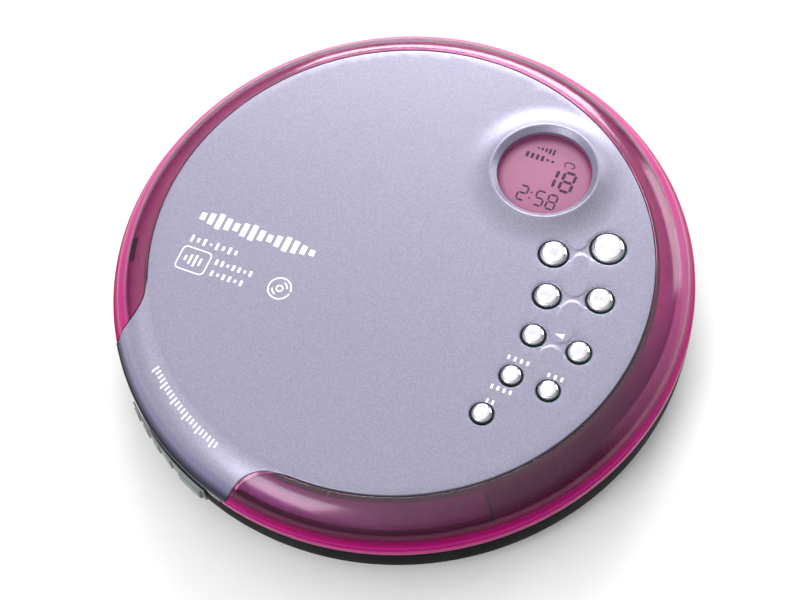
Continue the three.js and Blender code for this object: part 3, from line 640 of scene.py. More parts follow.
def finish(piece, body, look, stands_for=()):
    """Puts a piece on its body, with its material and the CAD nodes that it stands for."""
    piece.data.materials.clear()
    piece.data.materials.append(LOOKS[look] if isinstance(look, str) else look)
    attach(piece, body)
    if stands_for:
        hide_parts(*stands_for)


# ---- Lid ---------------------------------------------------------------------------------------------

LIP = 0.3


def offset_side(margin):
    """One side of the lobe from root to rim, moved into the lobe by a margin, as radii and half angles."""
    near = PLATE_RADIUS + 6 * np.linspace(0, 1, 40) ** 2
    radii = np.concatenate([near, np.linspace(64.6, RIM[0] + 1, 24)])
    line = np.array([polar(r, lobe_half(r)) for r in radii])
    along = np.gradient(line, axis=0)
    along /= np.linalg.norm(along, axis=1)[:, None]
    inward = np.column_stack([along[:, 1], -along[:, 0]])
    inward[0] = (-math.cos(math.radians(LOBE_ROOT)), -math.sin(math.radians(LOBE_ROOT)))
    moved = line + inward * margin
    return np.hypot(moved[:, 0], moved[:, 1]), np.degrees(np.arctan2(moved[:, 1], moved[:, 0]))


def plate_outline():
    """Rows of the lobe's grid and the plate's outline, both drawn in by the width of the rounded lip."""
    radii, halves = offset_side(LIP)
    start = PLATE_RADIUS - LIP
    rows = [start] + [r for r in SHOULDER[1:, 0] if r > radii[1]]
    rows[-1] = RIM[0] - LIP * 0.5
    columns = 72
    grid = []
    for r in rows:
        half = LOBE_ROOT if r == start else float(np.interp(r, radii, halves))
        angles = [LOBE_ANGLE + half * (2 * i / columns - 1) for i in range(columns + 1)]
        grid.append([polar(r, a) for a in angles])
    steps = 300
    sweep = 360 - 2 * LOBE_ROOT
    rest = [polar(start, LOBE_ANGLE + LOBE_ROOT + sweep * i / steps) for i in range(1, steps)]
    return grid, rest


def raised(points, height):
    """Points at a height, which is one number or comes from the places."""
    xy = np.array(points, float)
    heights = height(xy[:, 0], xy[:, 1]) if callable(height) else [height] * len(xy)
    return [(x, y, z) for (x, y), z in zip(points, heights)]


def plate_bottom(x, y):
    radius = np.hypot(x, y)
    return np.where(radius < PLATE_RADIUS, crown(radius) - 1, np.maximum(skin(radius) - 1.5, LID_BOTTOM))


def triangulated(outline, holes, extra):
    """Triangles between an outline and holes (centre, radius, count), through extra points."""
    points = list(outline)
    edges = [(i, (i + 1) % len(outline)) for i in range(len(outline))]
    for centre, radius, count in holes:
        first = len(points)
        points += circle(radius, centre, count)
        edges += [(first + i, first + (i + 1) % count) for i in range(count)]
    for x, y in extra:
        clear = all(math.hypot(x - c[0], y - c[1]) > r + 0.25 for c, r, _ in holes)
        if clear and math.hypot(x, y) < PLATE_RADIUS - 1.2:
            points.append((x, y))
    made = delaunay_2d_cdt([Vector(p) for p in points], edges, [], 1, 1e-5)
    flat = [tuple(v) for v in made[0]]
    keep = []
    for face in made[2]:
        x = sum(flat[i][0] for i in face) / 3
        y = sum(flat[i][1] for i in face) / 3
        if all(math.hypot(x - c[0], y - c[1]) > r * 0.999 for c, r, _ in holes):
            keep.append(tuple(face))
    return flat, keep


def plate_fill():
    """Points that carry the plate's relief: coarse ones, rings on the mound and fine ones on the necks."""
    rings = [MOUND_START + (MOUND_END + 0.4 - MOUND_START) * (i / 13) ** 1.25 for i in range(14)]
    mound = [p for r in rings for p in circle(r, DISPLAY, 120)]
    necks, clear = [], [(DISPLAY, MOUND_END + 0.8)]
    for one, two in PAIRS:
        a, b = middle(one).xy, middle(two).xy
        along = (b - a).normalized()
        across = Vector((-along.y, along.x))
        centre = (a + b) / 2
        clear.append((centre, 5.2))
        necks += [tuple(centre + along * i * 0.22 + across * j * 0.17)
                  for i in range(-22, 23) for j in range(-16, 17)]
    field = [(x + row % 2, row * 1.75) for row in range(-34, 35) for x in range(-60, 61, 2)]
    far = [p for p in field if all((Vector(p) - centre).length > reach for centre, reach in clear)]
    return far + mound + necks


# Steps (inward, down) from the loop of a hole over its lip.
BEZEL = [(0.1, 0.02), (0.22, 0.1), (0.4, 0.26), (1.3, 0.98), (1.4, 1.08), (1.45, 1.2)]
KEY_LIP = [(0.16, 0.03), (0.31, 0.13), (0.41, 0.28), (0.45, 0.5)]


def plate_holes():
    """The holes of the display and the keys, as centre, radius and number of points."""
    holes = [(tuple(DISPLAY), WINDOW_RADIUS + BEZEL[-1][0], 120)]
    for key in KEYS:
        cap = high(key).x - middle(key).x
        holes.append((tuple(middle(key).xy), cap + KEY_GAP + KEY_LIP[-1][0], 56))
    return holes


def hole_rings(centre, radius, count, lip):
    """Rings from a hole's loop over its lip and down to the plate's underside."""
    loop = raised(circle(radius, centre, count), plate_height)
    rings = [loop]
    for inward, down in lip:
        ring = circle(radius - inward, centre, count)
        rings.append([(x, y, z - down) for (x, y), (_, _, z) in zip(ring, loop)])
    ends = (radius - lip[-1][0], radius)
    return rings + [raised(circle(end, centre, count), plate_bottom) for end in ends]


def edge_rings(edge):
    """Rings from the edge of the upper face round the lip and down to the plate's underside."""
    flat = np.array(edge)
    along = np.roll(flat, -1, axis=0) - np.roll(flat, 1, axis=0)
    along /= np.linalg.norm(along, axis=1)[:, None]
    outward = np.column_stack([along[:, 1], -along[:, 0]])
    top = np.array(raised(edge, plate_height))
    under = np.array(raised(edge, plate_bottom))
    rings = [top]
    for turn in (30, 60, 90):
        out = LIP * math.sin(math.radians(turn))
        drop = LIP * (1 - math.cos(math.radians(turn)))
        ring = top.copy()
        ring[:, :2] += outward * out
        ring[:, 2] = np.maximum(ring[:, 2] - drop, under[:, 2] + 0.05)
        rings.append(ring)
    last = rings[-1].copy()
    last[:, 2] = under[:, 2]
    return [*rings, last, under]


def lid_plate():
    grid, rest = plate_outline()
    holes = plate_holes()
    flat, triangles = triangulated(grid[0] + rest, holes, plate_fill())
    points = raised(flat, plate_height)
    faces = list(triangles)

    def add(more_points, more_faces):
        first = len(points)
        points.extend(more_points)
        faces.extend(tuple(first + i for i in face) for face in more_faces)

    add(raised(flat, plate_bottom), triangles)
    for height in (plate_height, plate_bottom):
        add(*strips([raised(row, height) for row in grid], closed=False))
    # The outer edge runs round the plate and down both sides of the lobe.
    edge = rest + [row[0] for row in grid] + grid[-1][1:-1] + [row[-1] for row in reversed(grid)]
    add(*strips(edge_rings(edge)))
    for i, hole in enumerate(holes):
        add(*strips(hole_rings(*hole, KEY_LIP if i else BEZEL)))
    piece = mesh_piece("lid_plate_skin", points, faces, sharp=40)
    finish(lid_hook(), "lid", "navy_plastic")
    finish(piece, "lid", "lavender_paint", ["lid_plate"])


def lid_hook():
    profile = rounded([(64.9, HOOK_BOTTOM, 0.2), (65.9, HOOK_BOTTOM, 0.2), (65.9, 19.2), (64.9, 19.2)])
    stem = sector("lid_hook", profile, LOBE_ANGLE - 2.2, LOBE_ANGLE + 2.2, 8)
    toe = rectangle((64.9, 65.9), (HOOK_BOTTOM, HOOK_BOTTOM + 1.1), 0.2)
    return carve(stem, [sector("hook_foot", toe, LOBE_ANGLE + 1.6, LOBE_ANGLE + 3.9, 5)], "UNION")


def ring_ends():
    """The angles at which the ring starts and ends beside the lobe, by radius."""
    def half(radius):
        return lobe_half(max(radius, PLATE_RADIUS + GAP)) + math.degrees(GAP / radius)

    return (lambda radius: LOBE_ANGLE + half(radius)), (lambda radius: LOBE_ANGLE + 360 - half(radius))


def knuckles(kind, body, near, far):
    """The two hinge knuckles of one body, bored for the pin."""
    for side, name in ((-1, "left"), (1, "right")):
        knuckle = hinge_bar(f"{kind}_knuckle_{name}", KNUCKLE_RADIUS, side * near, side * far, bevel=0.2)
        bore = hinge_bar("bore", KNUCKLE_BORE, side * (near - 0.5), side * (far + 0.5))
        finish(carve(knuckle, [bore]), body, "tinted_clear")


def lid_ring():
    lip = PLATE_RADIUS + GAP
    profile = [(56.5, 22.2), (56.5, 23.2), (lip, 23.2), (lip, 24.05), (lip + 0.12, 24.22)]
    profile.append((lip + 0.35, 24.28))
    profile += [(r, z) for r, z in SHOULDER if r > lip + 0.9]
    profile += [(67.9, 16.3), (67.7, LID_BOTTOM), (66.5, LID_BOTTOM), (66.3, 16.3)]
    profile += [tuple(p) for p in bezier((66.3, 16.4), (65.2, 18.6), (64.3, 19.5), 6)[1:]]
    profile += [tuple(p) for p in bezier((64.3, 19.5), (62.2, 21.6), (59.4, 22.4), 8)[1:]]
    piece = sector("lid_ring_clear", profile, *ring_ends(), 300, sharp=50)
    notch = slab("notch", rectangle((-19.6, 19.6), (HINGE.y, 72)), 10, 30, bevel=0)
    pocket = hinge_bar("pocket", POCKET_RADIUS, -LID_KNUCKLE[0], LID_KNUCKLE[0])
    carve(piece, [notch, pocket], sharp=50)
    knuckles("lid", "lid", *LID_KNUCKLE)
    finish(piece, "lid", "tinted_clear", ["lid_ring"])


def ring_lining():
    """The tinted lining under the clear ring, whose colour carries painted light, and the dark tab on it."""
    profile = [(59.5, 22.25), (61.9, 21.1), (64.2, 19.36), (64.1, 19.25), (61.8, 20.95), (59.5, 22.05)]
    finish(sector("ring_lining", profile, *ring_ends(), 240), "lid", LINING)
    tab = [(62, 20.98), (63.8, 19.62), (63.8, 19.8), (62, 21.14)]
    finish(sector("lining_tab", tab, LOBE_ANGLE - 42.8, LOBE_ANGLE - 37.2, 6), "lid", "rubber")


def ring_insides():
    """The channel inside the ring's wall, black up to the rib where the two halves of the lining meet; the
    black is painted shade of the dark gap inside the ring.
    """
    start = LOBE_ANGLE + lobe_half(66) + 1
    end = LOBE_ANGLE + 359 - lobe_half(66)
    channel = [(64.1, 19.3), (64.9, 18.6), (65.9, 16.9), (66.2, 16.2), (66, 16.2), (65.6, 16.9),
               (64.6, 18.3), (63.9, 19.1)]
    finish(sector("ring_channel", channel, start, SEAM_ANGLE, 90), "lid", "rubber")
    finish(sector("ring_channel_tinted", channel, SEAM_ANGLE, HINGE_GAP[0], 140), "lid", VIOLET)
    finish(sector("ring_channel_far", channel, HINGE_GAP[1], end, 160), "lid", VIOLET)
    rib = [(60.2, 22.05), (61.9, 21.45), (64.2, 19.55), (65.1, 18.6), (65.8, 17.6), (65.6, 17.2),
           (63.8, 19.1), (60.2, 21.9)]
    finish(sector("ring_rib", rib, SEAM_ANGLE - 0.3, SEAM_ANGLE + 0.3, 2), "lid", "rubber")


def plate_gap_shade():
    """A dark strip in the joint between the plate and the clear ring, put there as painted shade of the gap.
    """
    profile = rectangle((PLATE_RADIUS + 0.02, PLATE_RADIUS + GAP - 0.02), (23.55, 24))
    margin = LOBE_ROOT + 0.6
    piece = sector("plate_gap_shade", profile, LOBE_ANGLE + margin, LOBE_ANGLE + 360 - margin, 240)
    finish(piece, "lid", "rubber")


def cross_slot(x, y, reach, half_width, bottom, top):
    """The two bars that cut the slot of a screw."""
    return [slab("slot", rectangle((x - a, x + a), (y - b, y + b)), bottom, top, bevel=0)
            for a, b in ((reach, half_width), (half_width, reach))]


def lid_liner():
    """The ceiling of the disc well, with shallow moulded ribs and the screws that hold it."""
    bottom, top = low("lid_liner").z, high("lid_liner").z
    edge = high("lid_liner").x
    ribbed = bottom + 0.15
    profile = [(0, ribbed), (9, ribbed), (9.3, bottom)]
    for radius in (13, 22, 35, 48):
        profile += [(radius, bottom), (radius + 0.3, ribbed), (radius + 1.5, ribbed), (radius + 1.8, bottom)]
    profile += [(edge - 0.15, bottom), (edge, ribbed), (edge, top), (0, top)]
    finish(lathe("lid_liner_disc", profile, 160, sharp=20), "lid", "charcoal_plastic", ["lid_liner"])
    head = rounded([(0, bottom - 0.12), (1.1, bottom - 0.12, 0.15), (1.4, bottom + 0.1), (0, bottom + 0.1)])
    for i in range(5):
        x, y = polar(52, 20 + 72 * i)
        screw = lathe(f"lid_screw_{i + 1}", head, 32, (x, y))
        finish(carve(screw, cross_slot(x, y, 0.8, 0.15, bottom - 1, bottom - 0.03)), "lid", "steel")


def switch_domes():
    top = high("switch_board").z
    for key in KEYS:
        rise = [(1.6 * math.cos(t), top + 0.15 * math.sin(t)) for t in np.linspace(0, math.pi / 2, 6)]
        profile = [(0, top - 0.02), (1.6, top - 0.02), *rise[:-1], (0, top + 0.15)]
        finish(lathe(key.replace("_button", "_dome"), profile, 32, middle(key).xy), "lid", "steel")


def board_parts():
    """Small parts on the main board: cans with a pressed top, and rows of tiny blocks."""
    top = high("main_board").z
    cans = [(-30, -8, 2), (-30, -14, 2), (30, -6, 2.2), (30, -13, 2.2), (-12, 2, 1.6), (12, 4, 1.6)]
    for i, (x, y, radius) in enumerate(cans):
        profile = rounded([
            (0, top), (radius, top, 0.1), (radius, top + 0.5), (radius - 0.15, top + 0.7),
            (radius, top + 0.9), (radius, top + 3, 0.2), (radius - 0.3, top + 3), (0, top + 2.95)])
        finish(lathe(f"capacitor_{i + 1}", profile, 32, (x, y)), "root", "steel")
    places = [(x, y) for y in (-4, -30) for x in (-24, -20, -16, -12, -8, 8, 22, 26)]
    for i, (x, y) in enumerate(places):
        outline = rectangle((x - 0.9, x + 0.9), (y - 0.5, y + 0.5))
        piece = slab(f"chip_part_{i + 1}", outline, top - 0.01, top + 0.5, bevel=0.08)
        finish(piece, "root", "brass" if i % 3 == 0 else "dark_plastic")


def jack_collar():
    """The bright ring in the mouth of the headphone jack."""
    place = middle("headphone_jack")
    angle = math.degrees(math.atan2(place.y, place.x))
    ring = radial_bar("headphone_collar", 2.25, angle, 66.9, 67.55, bevel=0.12)
    finish(carve(ring, [radial_bar("bore", 1.82, angle, 66, 69)]), "root", "chrome")


def display():
    bottom, top = WINDOW_TOP - 0.8, WINDOW_TOP
    radius = WINDOW_RADIUS + GAP
    profile = rounded([(0, bottom), (radius, bottom, 0.1), (radius, top, 0.15), (0, top)])
    window = lathe("display_window_clear", profile, 96, DISPLAY)
    finish(window, "lid", "display_window", ["display_window"])
    bottom, top = low("display_panel").z, high("display_panel").z
    profile = rounded([(0, bottom), (WINDOW_RADIUS, bottom, 0.1), (WINDOW_RADIUS, top, 0.1), (0, top)])
    panel = lathe("display_panel_face", profile, 96, DISPLAY)
    finish(panel, "lid", "display_panel", ["display_panel"])


SEGMENTS = {
    "a": ((0, 2), (1, 2)), "b": ((1, 2), (1, 1)), "c": ((1, 1), (1, 0)), "d": ((0, 0), (1, 0)),
    "e": ((0, 0), (0, 1)), "f": ((0, 1), (0, 2)), "g": ((0, 1), (1, 1)),
}
DIGITS = {"1": "bc", "2": "abged", "5": "afgcd", "8": "abcdefg"}


def segment(start, end, width):
    """A six-sided display segment between two corners of a digit."""
    start, end = Vector(start), Vector(end)
    along = (end - start).normalized()
    across = Vector((-along.y, along.x)) * width / 2
    start, end = start + along * width * 0.25, end - along * width * 0.25
    tip = along * width / 2
    return [start, start + tip - across, end - tip - across, end, end - tip + across, start + tip + across]


def printed(name, outlines, height, thickness, body, look, sunk=0.0):
    """Flat or laid marks with a little thickness, as one piece. The height is a number or a surface."""
    points, faces = [], []
    for outline in outlines:
        first, count = len(points), len(outline)
        base = raised(outline, height)
        points += [(x, y, z - sunk) for x, y, z in base] + [(x, y, z + thickness) for x, y, z in base]
        for side in (first, first + count):
            faces += [tuple(side + i for i in face) for face in flat_faces(outline)]
        faces += [(first + i, first + (i + 1) % count, first + count + (i + 1) % count, first + count + i)
                  for i in range(count)]
    finish(mesh_piece(name, points, faces), body, look)


def readout(name, text, centre, height, width, line):
    """Seven-segment figures in a row, centred on a place of the display."""
    gap = line * 2.1
    pitch = width + gap
    wide = [pitch if c != ":" else pitch * 0.45 for c in text]
    x = centre[0] - (sum(wide) - gap) / 2
    outlines = []
    for character, advance in zip(text, wide):
        if character == ":":
            for share in (-0.2, 0.2):
                outlines.append(circle(line * 0.55, (x + line * 0.1, centre[1] + share * height), 10))
        else:
            for key in DIGITS[character]:
                corners = [(x + u * width, centre[1] + (v - 1) * height / 2) for u, v in SEGMENTS[key]]
                outlines.append(segment(*corners, line))
        x += advance
    on_panel(name, outlines)


def on_panel(name, outlines):
    printed(name, outlines, high("display_panel").z + 0.01, 0.03, "lid", INK_DARK)


def stroke(path, width):
    """The outline of a line of some width along a path."""
    path = [Vector(p) for p in path]
    left, right = [], []
    for i, here in enumerate(path):
        along = (path[min(i + 1, len(path) - 1)] - path[max(i - 1, 0)]).normalized()
        across = Vector((-along.y, along.x)) * width / 2
        left.append(tuple(here + across))
        right.append(tuple(here - across))
    return left + right[::-1]


def row_of_bars(left, right, middle_y, heights, share=0.55):
    """Upright bars between two places along X, each with its own height."""
    pitch = (right - left) / len(heights)
    spans = [(left + i * pitch, left + (i + share) * pitch) for i in range(len(heights))]
    return [rectangle(span, (middle_y - h / 2, middle_y + h / 2), 0.2) for span, h in zip(spans, heights)]


def display_marks():
    x, y = DISPLAY
    readout("track_figures", "18", (x + 3.6, y - 0.1), 5.2, 2.7, 0.75)
    readout("time_figures", "2:58", (x + 0.6, y - 6.4), 3.9, 2.0, 0.45)
    turns = [math.radians(a) for a in range(-60, 241, 12)]
    loop = [(x + 4.6 + 1.25 * math.cos(a), y + 4.4 + 0.75 * math.sin(a)) for a in turns]
    on_panel("repeat_mark", [stroke(loop, 0.28)])
    bars = row_of_bars(x - 4.2, x + 0.6, y + 6.5, [0.5, 0.8, 1.1, 1.4, 1.6])
    bars += row_of_bars(x - 6.2, x + 1.4, y + 4.0, [1.5, 1.5, 1.5, 1.5, 0.6, 0.6])
    on_panel("level_mark", bars)
    near, far = WINDOW_RADIUS - 0.25, WINDOW_RADIUS
    bottom = high("display_panel").z + 0.01
    top = bottom + 0.12
    rim = rounded([(near, bottom), (far, bottom), (far, top, 0.05), (near, top, 0.05)])
    finish(lathe("display_rim", rim, 96, DISPLAY), "lid", RIM_TINT)


def key_caps():
    for node in KEYS:
        key_cap(node)


def key_cap(node):
    centre = middle(node)
    cap = high(node).x - centre.x - 0.1
    top, bottom = high(node).z, low(node).z
    round_off = cap * 0.24
    dome = []
    for turn in range(0, 76, 15):
        angle = math.radians(turn)
        dome.append((cap - round_off * (1 - math.cos(angle)), top - 0.3 - round_off * (1 - math.sin(angle))))
    start = dome[-1]
    crest = [(start[0] * math.cos(t), start[1] + (top - start[1]) * math.sin(t))
             for t in np.linspace(0.12, math.pi / 2, 12)]
    profile = [(0, bottom), (cap - 0.1, bottom), (cap, bottom + 0.1), *dome, *crest[:-1], (0, top)]
    piece = lathe(node.replace("_button", "_cap"), profile, 72, centre.xy, sharp=50)
    finish(piece, node, "chrome", [node])


def marks_on_keys():
    """Etched signs on the caps: a triangle and bars, a square, double arrows, minus and plus."""
    def triangle(x, size, way=1):
        tail, tip, half = x - way * size / 2, x + way * size / 2, size * 0.58
        return [(tail, -half), (tip, 0), (tail, half)]

    def box(x, y, width, height):
        return rectangle((x - width / 2, x + width / 2), (y - height / 2, y + height / 2))

    signs = {
        "play": [triangle(-0.9, 1.5), box(0.5, 0, 0.35, 1.6), box(1.2, 0, 0.35, 1.6)],
        "stop": [box(0, 0, 1.5, 1.5)],
        "skip_back": [triangle(-0.45, 1.1, -1), triangle(0.65, 1.1, -1), box(-1.2, 0, 0.25, 1.3)],
        "skip_forward": [triangle(-0.65, 1.1), triangle(0.45, 1.1), box(1.2, 0, 0.25, 1.3)],
        "volume_down": [box(0, 0, 1.7, 0.3)],
        "volume_up": [box(0, 0, 1.7, 0.3), box(0, 0.5, 0.3, 0.7), box(0, -0.5, 0.3, 0.7)],
    }
    for key, outlines in signs.items():
        node = f"{key}_button"
        centre = middle(node)
        placed = [[(x + centre.x, y + centre.y) for x, y in outline] for outline in outlines]
        printed(f"{key}_sign", placed, high(node).z - 0.075, 0.085, node, ETCHED)


def printed_marks():
    """White generic marks in place of lettering: bars, a frame, a disc and ticks on the lobe."""
    def lay(name, outlines):
        printed(name, outlines, plate_height, 0.015, "lid", INK_WHITE, sunk=0.02)

    heights = [2, 3, 4.2, 3.2, 2.2, 3.6, 4.2, 2.8, 2, 3, 4, 3.4, 2.4, 1.6]
    lay("level_print", row_of_bars(-48, -17.6, -6.5, heights, 0.62))
    small = row_of_bars(-47.4, -34.4, -12.8, [1.9, 1.2, 1.9, 0.5, 1.9, 1.2, 1.9, 1.2], 0.4)
    small += row_of_bars(-39.2, -29, -16.6, [1.5, 1.5, 0.8, 1.5, 1.5, 0.8, 1.5], 0.45)
    small += row_of_bars(-39, -30, -19.6, [1.5, 0.8, 1.5, 1.5, 0.8, 1.5], 0.45)
    small += row_of_bars(-46.6, -41.6, -18, [1.4, 2.6, 3.2, 2], 0.45)
    lay("small_print", small)
    frame_line = rounded([(-47.9, -21, 1.2), (-40.6, -21, 1.2), (-40.6, -15, 1.2), (-47.9, -15, 1.2)], 6)
    nearly_closed = (-47.9, frame_line[0][1] + 0.1)
    lay("frame_print", [stroke([*frame_line, nearly_closed], 0.32)])
    arcs = [(2.7, 0, 350), (1.75, 15, 75), (1.75, 195, 255), (0.75, 0, 350)]
    disc = [[polar(r, a, (-22.2, -17.6)) for a in range(first, last + 1, 10)] for r, first, last in arcs]
    lay("disc_print", [stroke(line, 0.34) for line in disc])
    ticks = [[polar(r, a) for r in np.linspace(60, 61.4 if i % 4 else 62, 6)]
             for i, a in enumerate(np.linspace(-131.2, -108.4, 22))]
    lay("lobe_print", [stroke(line, 0.5) for line in ticks])
    signs = [[(40.2, -5.2), (42.4, -4.5), (42.4, -5.9)]]
    for left, right, y, count in ((32.6, 38.6, -14.4, 4), (42.4, 47, -15.2, 3), (31.8, 37.6, -22.4, 4),
                                  (32.2, 34.8, -26, 2)):
        signs += row_of_bars(left, right, y, [1.1] * count, 0.4)
    lay("key_prints", signs)


# ---- Case --------------------------------------------------------------------------------------------

def case_profile():
    outer = [(0, FLOOR), (57, FLOOR)]
    outer += [tuple(p) for p in bezier((57, FLOOR), (66.4, 1.6), (67.6, 6.4), 12)[1:]]
    outer += [tuple(p) for p in bezier((67.6, 6.4), (67.9, 8.4), (RADIUS, 12.9), 6)[1:]]
    outer += [(RADIUS - 0.03, CASE_TOP - 0.15), (RADIUS - 0.2, CASE_TOP), (66.4, CASE_TOP)]
    inner = [(66.1, 8.2), (65, 5.8), (61.8, 3.6), (56.6, FLOOR + 1.2), (0, FLOOR + 1.2)]
    return outer + inner


def bottom_case():
    piece = lathe("bottom_shell", case_profile(), 240)
    door_low, door_high = low("battery_door"), high("battery_door")
    opening = rectangle((door_low.x - GAP, door_high.x + GAP), (door_low.y - GAP, door_high.y + GAP), 0.6)
    tools = [slab("door_hole", opening, 0, 4, bevel=0)]
    for i in range(4):
        centre = middle(f"rubber_foot_{i + 1}")
        tools.append(slab("foot_pocket", circle(4.3, centre.xy), 0, FLOOR + 0.4, bevel=0))
    for place in SCREWS:
        tools.append(slab("recess", circle(2.3, place, 32), 0, FLOOR + 0.8, bevel=0))
    slots = [(-118, -108.8, 9.5, 12.5), (HOLD_ANGLE - 2.3, HOLD_ANGLE + 4.3, 9.1, 11.3)]
    for start, end, bottom, top in slots:
        tools.append(sector("slot", rectangle((62, 72), (bottom, top)), start, end, 10))
    tools += [radial_bar("jack_hole", radius, angle, 62, 72) for angle, radius in JACK_HOLES]
    finish(carve(piece, tools), "root", "case_black", ["bottom_case"])


def bay_walls():
    outer = rectangle((-31, 31), (14.5, 47), 0.8)
    piece = slab("battery_bay_walls", outer, FLOOR + 1.2, 16.7, bevel=0)
    inner = slab("bay_room", rectangle((-30, 30), (15.5, 46), 0.6), 0, 20, bevel=0)
    finish(carve(piece, [inner]), "root", "case_black")


def band_profile():
    """Section of the band under the lid, which the latch housing continues."""
    joint = CASE_TOP + 0.02
    return rounded([(64.6, 11.5, 0.1), (66.1, 11.5, 0.1), (66.1, joint), (RADIUS, joint, 0.12),
                    (RADIUS, CABINET_TOP, 0.3), (64.6, CABINET_TOP, 0.15)])


def cabinet_ring():
    start, end = LOBE_ANGLE + HOUSING_HALF, LOBE_ANGLE + 360 - HOUSING_HALF
    piece = sector("cabinet_band", band_profile(), start, end, 260)
    near, far = CABINET_KNUCKLE[1], LID_KNUCKLE[1] + GAP
    tools = [hinge_bar("pocket", POCKET_RADIUS, side * near, side * far) for side in (-1, 1)]
    tools.append(slab("spring_pocket", rectangle((-3.4, 3.4), (64.2, 72)), 13.9, 20, bevel=0))
    carve(piece, tools)
    knuckles("cabinet", "root", *CABINET_KNUCKLE)
    finish(piece, "root", "tinted_clear", ["cabinet_ring"])


def joint_shade_lip():
    """A black lip between the cabinet's top and the lid, put in the joint as painted shade, open at the
    hinge.
    """
    lip = rectangle((66.3, 67.5), (CABINET_TOP - 0.05, CABINET_TOP + 0.12))
    finish(sector("joint_shade_lip", lip, HINGE_GAP[1] - 360, HINGE_GAP[0], 240), "root", "rubber")


def latch_housing():
    half = HOUSING_HALF - GAP
    piece = sector("latch_housing_cover", band_profile(), LOBE_ANGLE - half, LOBE_ANGLE + half, 48)
    tools = [sector("hook_slot", rectangle((60, 66.4), (0, 30)), LOBE_ANGLE - 3, LOBE_ANGLE + 5, 8),
             sector("catch_room", rectangle((60, 66.4), (0, 13.4)), LOBE_ANGLE + 3, LOBE_ANGLE + 16, 8)]
    finish(carve(piece, tools), "root", "navy_plastic", ["latch_housing"])


def knob_plate(bottom, top):
    return rounded([(KNOB_BACK, bottom, 0.1), (KNOB_FACE, bottom, 0.2), (KNOB_FACE, top, 0.2),
                    (KNOB_BACK, top, 0.1)])


def open_slider():
    """The ribbed finger slider with its neck and catch."""
    start, end = -131.0, -107.0
    piece = sector("open_slider_knob", knob_plate(8.9, 13.9), start, end, 36)
    more = []
    rib = rounded([(KNOB_ROOT, 9.2), (KNOB_FACE, 9.2), (RIB_FACE, 9.6, 0.2), (RIB_FACE, 13.2, 0.2),
                   (KNOB_FACE, 13.6), (KNOB_ROOT, 13.6)])
    for i in range(4):
        centre = start + 1.8 + i * 4
        more.append(sector("rib", rib, centre - 0.8, centre + 0.8, 4))
    foot = KNOB_FACE + 0.2
    grip = rounded([(KNOB_ROOT, 9.3), (foot, 9.4, 0.1), (GRIP_FACE, 10, 0.4), (GRIP_FACE, 12.8, 0.4),
                    (foot, 13.4, 0.1), (KNOB_ROOT, 13.5)])
    more.append(sector("grip", grip, end - 6.5, end - 0.8, 10))
    neck = rectangle((65.5, KNOB_ROOT + 0.1), (9.8, 12.2))
    more.append(sector("neck", neck, -117.5, -113.5, 6))
    more.append(sector("catch", rectangle((65, 65.8), (9.8, 13.2)), LOBE_ANGLE + 4.5, -113.5, 6))
    carve(piece, more, "UNION")
    soften(piece, 0.1)
    finish(piece, "open_slider", "silver_plastic", ["open_slider"])


def hold_switch():
    piece = sector("hold_knob", knob_plate(8.8, 11.6), HOLD_ANGLE - 3.2, HOLD_ANGLE + 3.2, 14)
    rib = [(KNOB_ROOT, 9.1), (RIB_FACE, 9.3), (RIB_FACE, 11.1), (KNOB_ROOT, 11.3)]
    centres = [HOLD_ANGLE + turn for turn in (-1.5, -0.5, 0.5, 1.5)]
    more = [sector("rib", rib, centre - 0.25, centre + 0.25, 2) for centre in centres]
    neck = rectangle((65.6, KNOB_ROOT + 0.1), (9.4, 11))
    more.append(sector("neck", neck, HOLD_ANGLE - 1.8, HOLD_ANGLE + 1.8, 6))
    carve(piece, more, "UNION")
    soften(piece, 0.08)
    finish(piece, "hold_switch", "silver_plastic", ["hold_switch"])


def battery_door():
    near, far = low("battery_door"), high("battery_door")
    outline = rectangle((near.x, far.x), (near.y, far.y), 0.6)
    piece = slab("battery_door_cover", outline, near.z, far.z, bevel=0.2)
    finish(piece, "battery_door", "case_black", ["battery_door"])
    starts = [near.y + 2.5 + i * 1.3 for i in range(4)]
    ridges = [rectangle((-7, 7), (start, start + 0.6), 0.25) for start in starts]
    printed("battery_door_ridges", ridges, near.z - 0.18, 0.3, "battery_door", "case_black")


def rubber_feet():
    profile = rounded([(0, 0), (3.7, 0, 0.5), (4, FLOOR + 0.4, 0.1), (0, FLOOR + 0.4)])
    for i in range(4):
        node = f"rubber_foot_{i + 1}"
        finish(lathe(f"foot_pad_{i + 1}", profile, 48, middle(node).xy), "root", "rubber", [node])


def case_screws():
    head = rounded([(0, 1.25), (1.4, 1.25, 0.3), (1.9, 1.75, 0.1), (1.9, 2.1), (0, 2.1)])
    for i, (x, y) in enumerate(SCREWS):
        piece = lathe(f"case_screw_{i + 1}", head, 40, (x, y))
        finish(carve(piece, cross_slot(x, y, 1.1, 0.2, 1, 1.7)), "root", "steel")


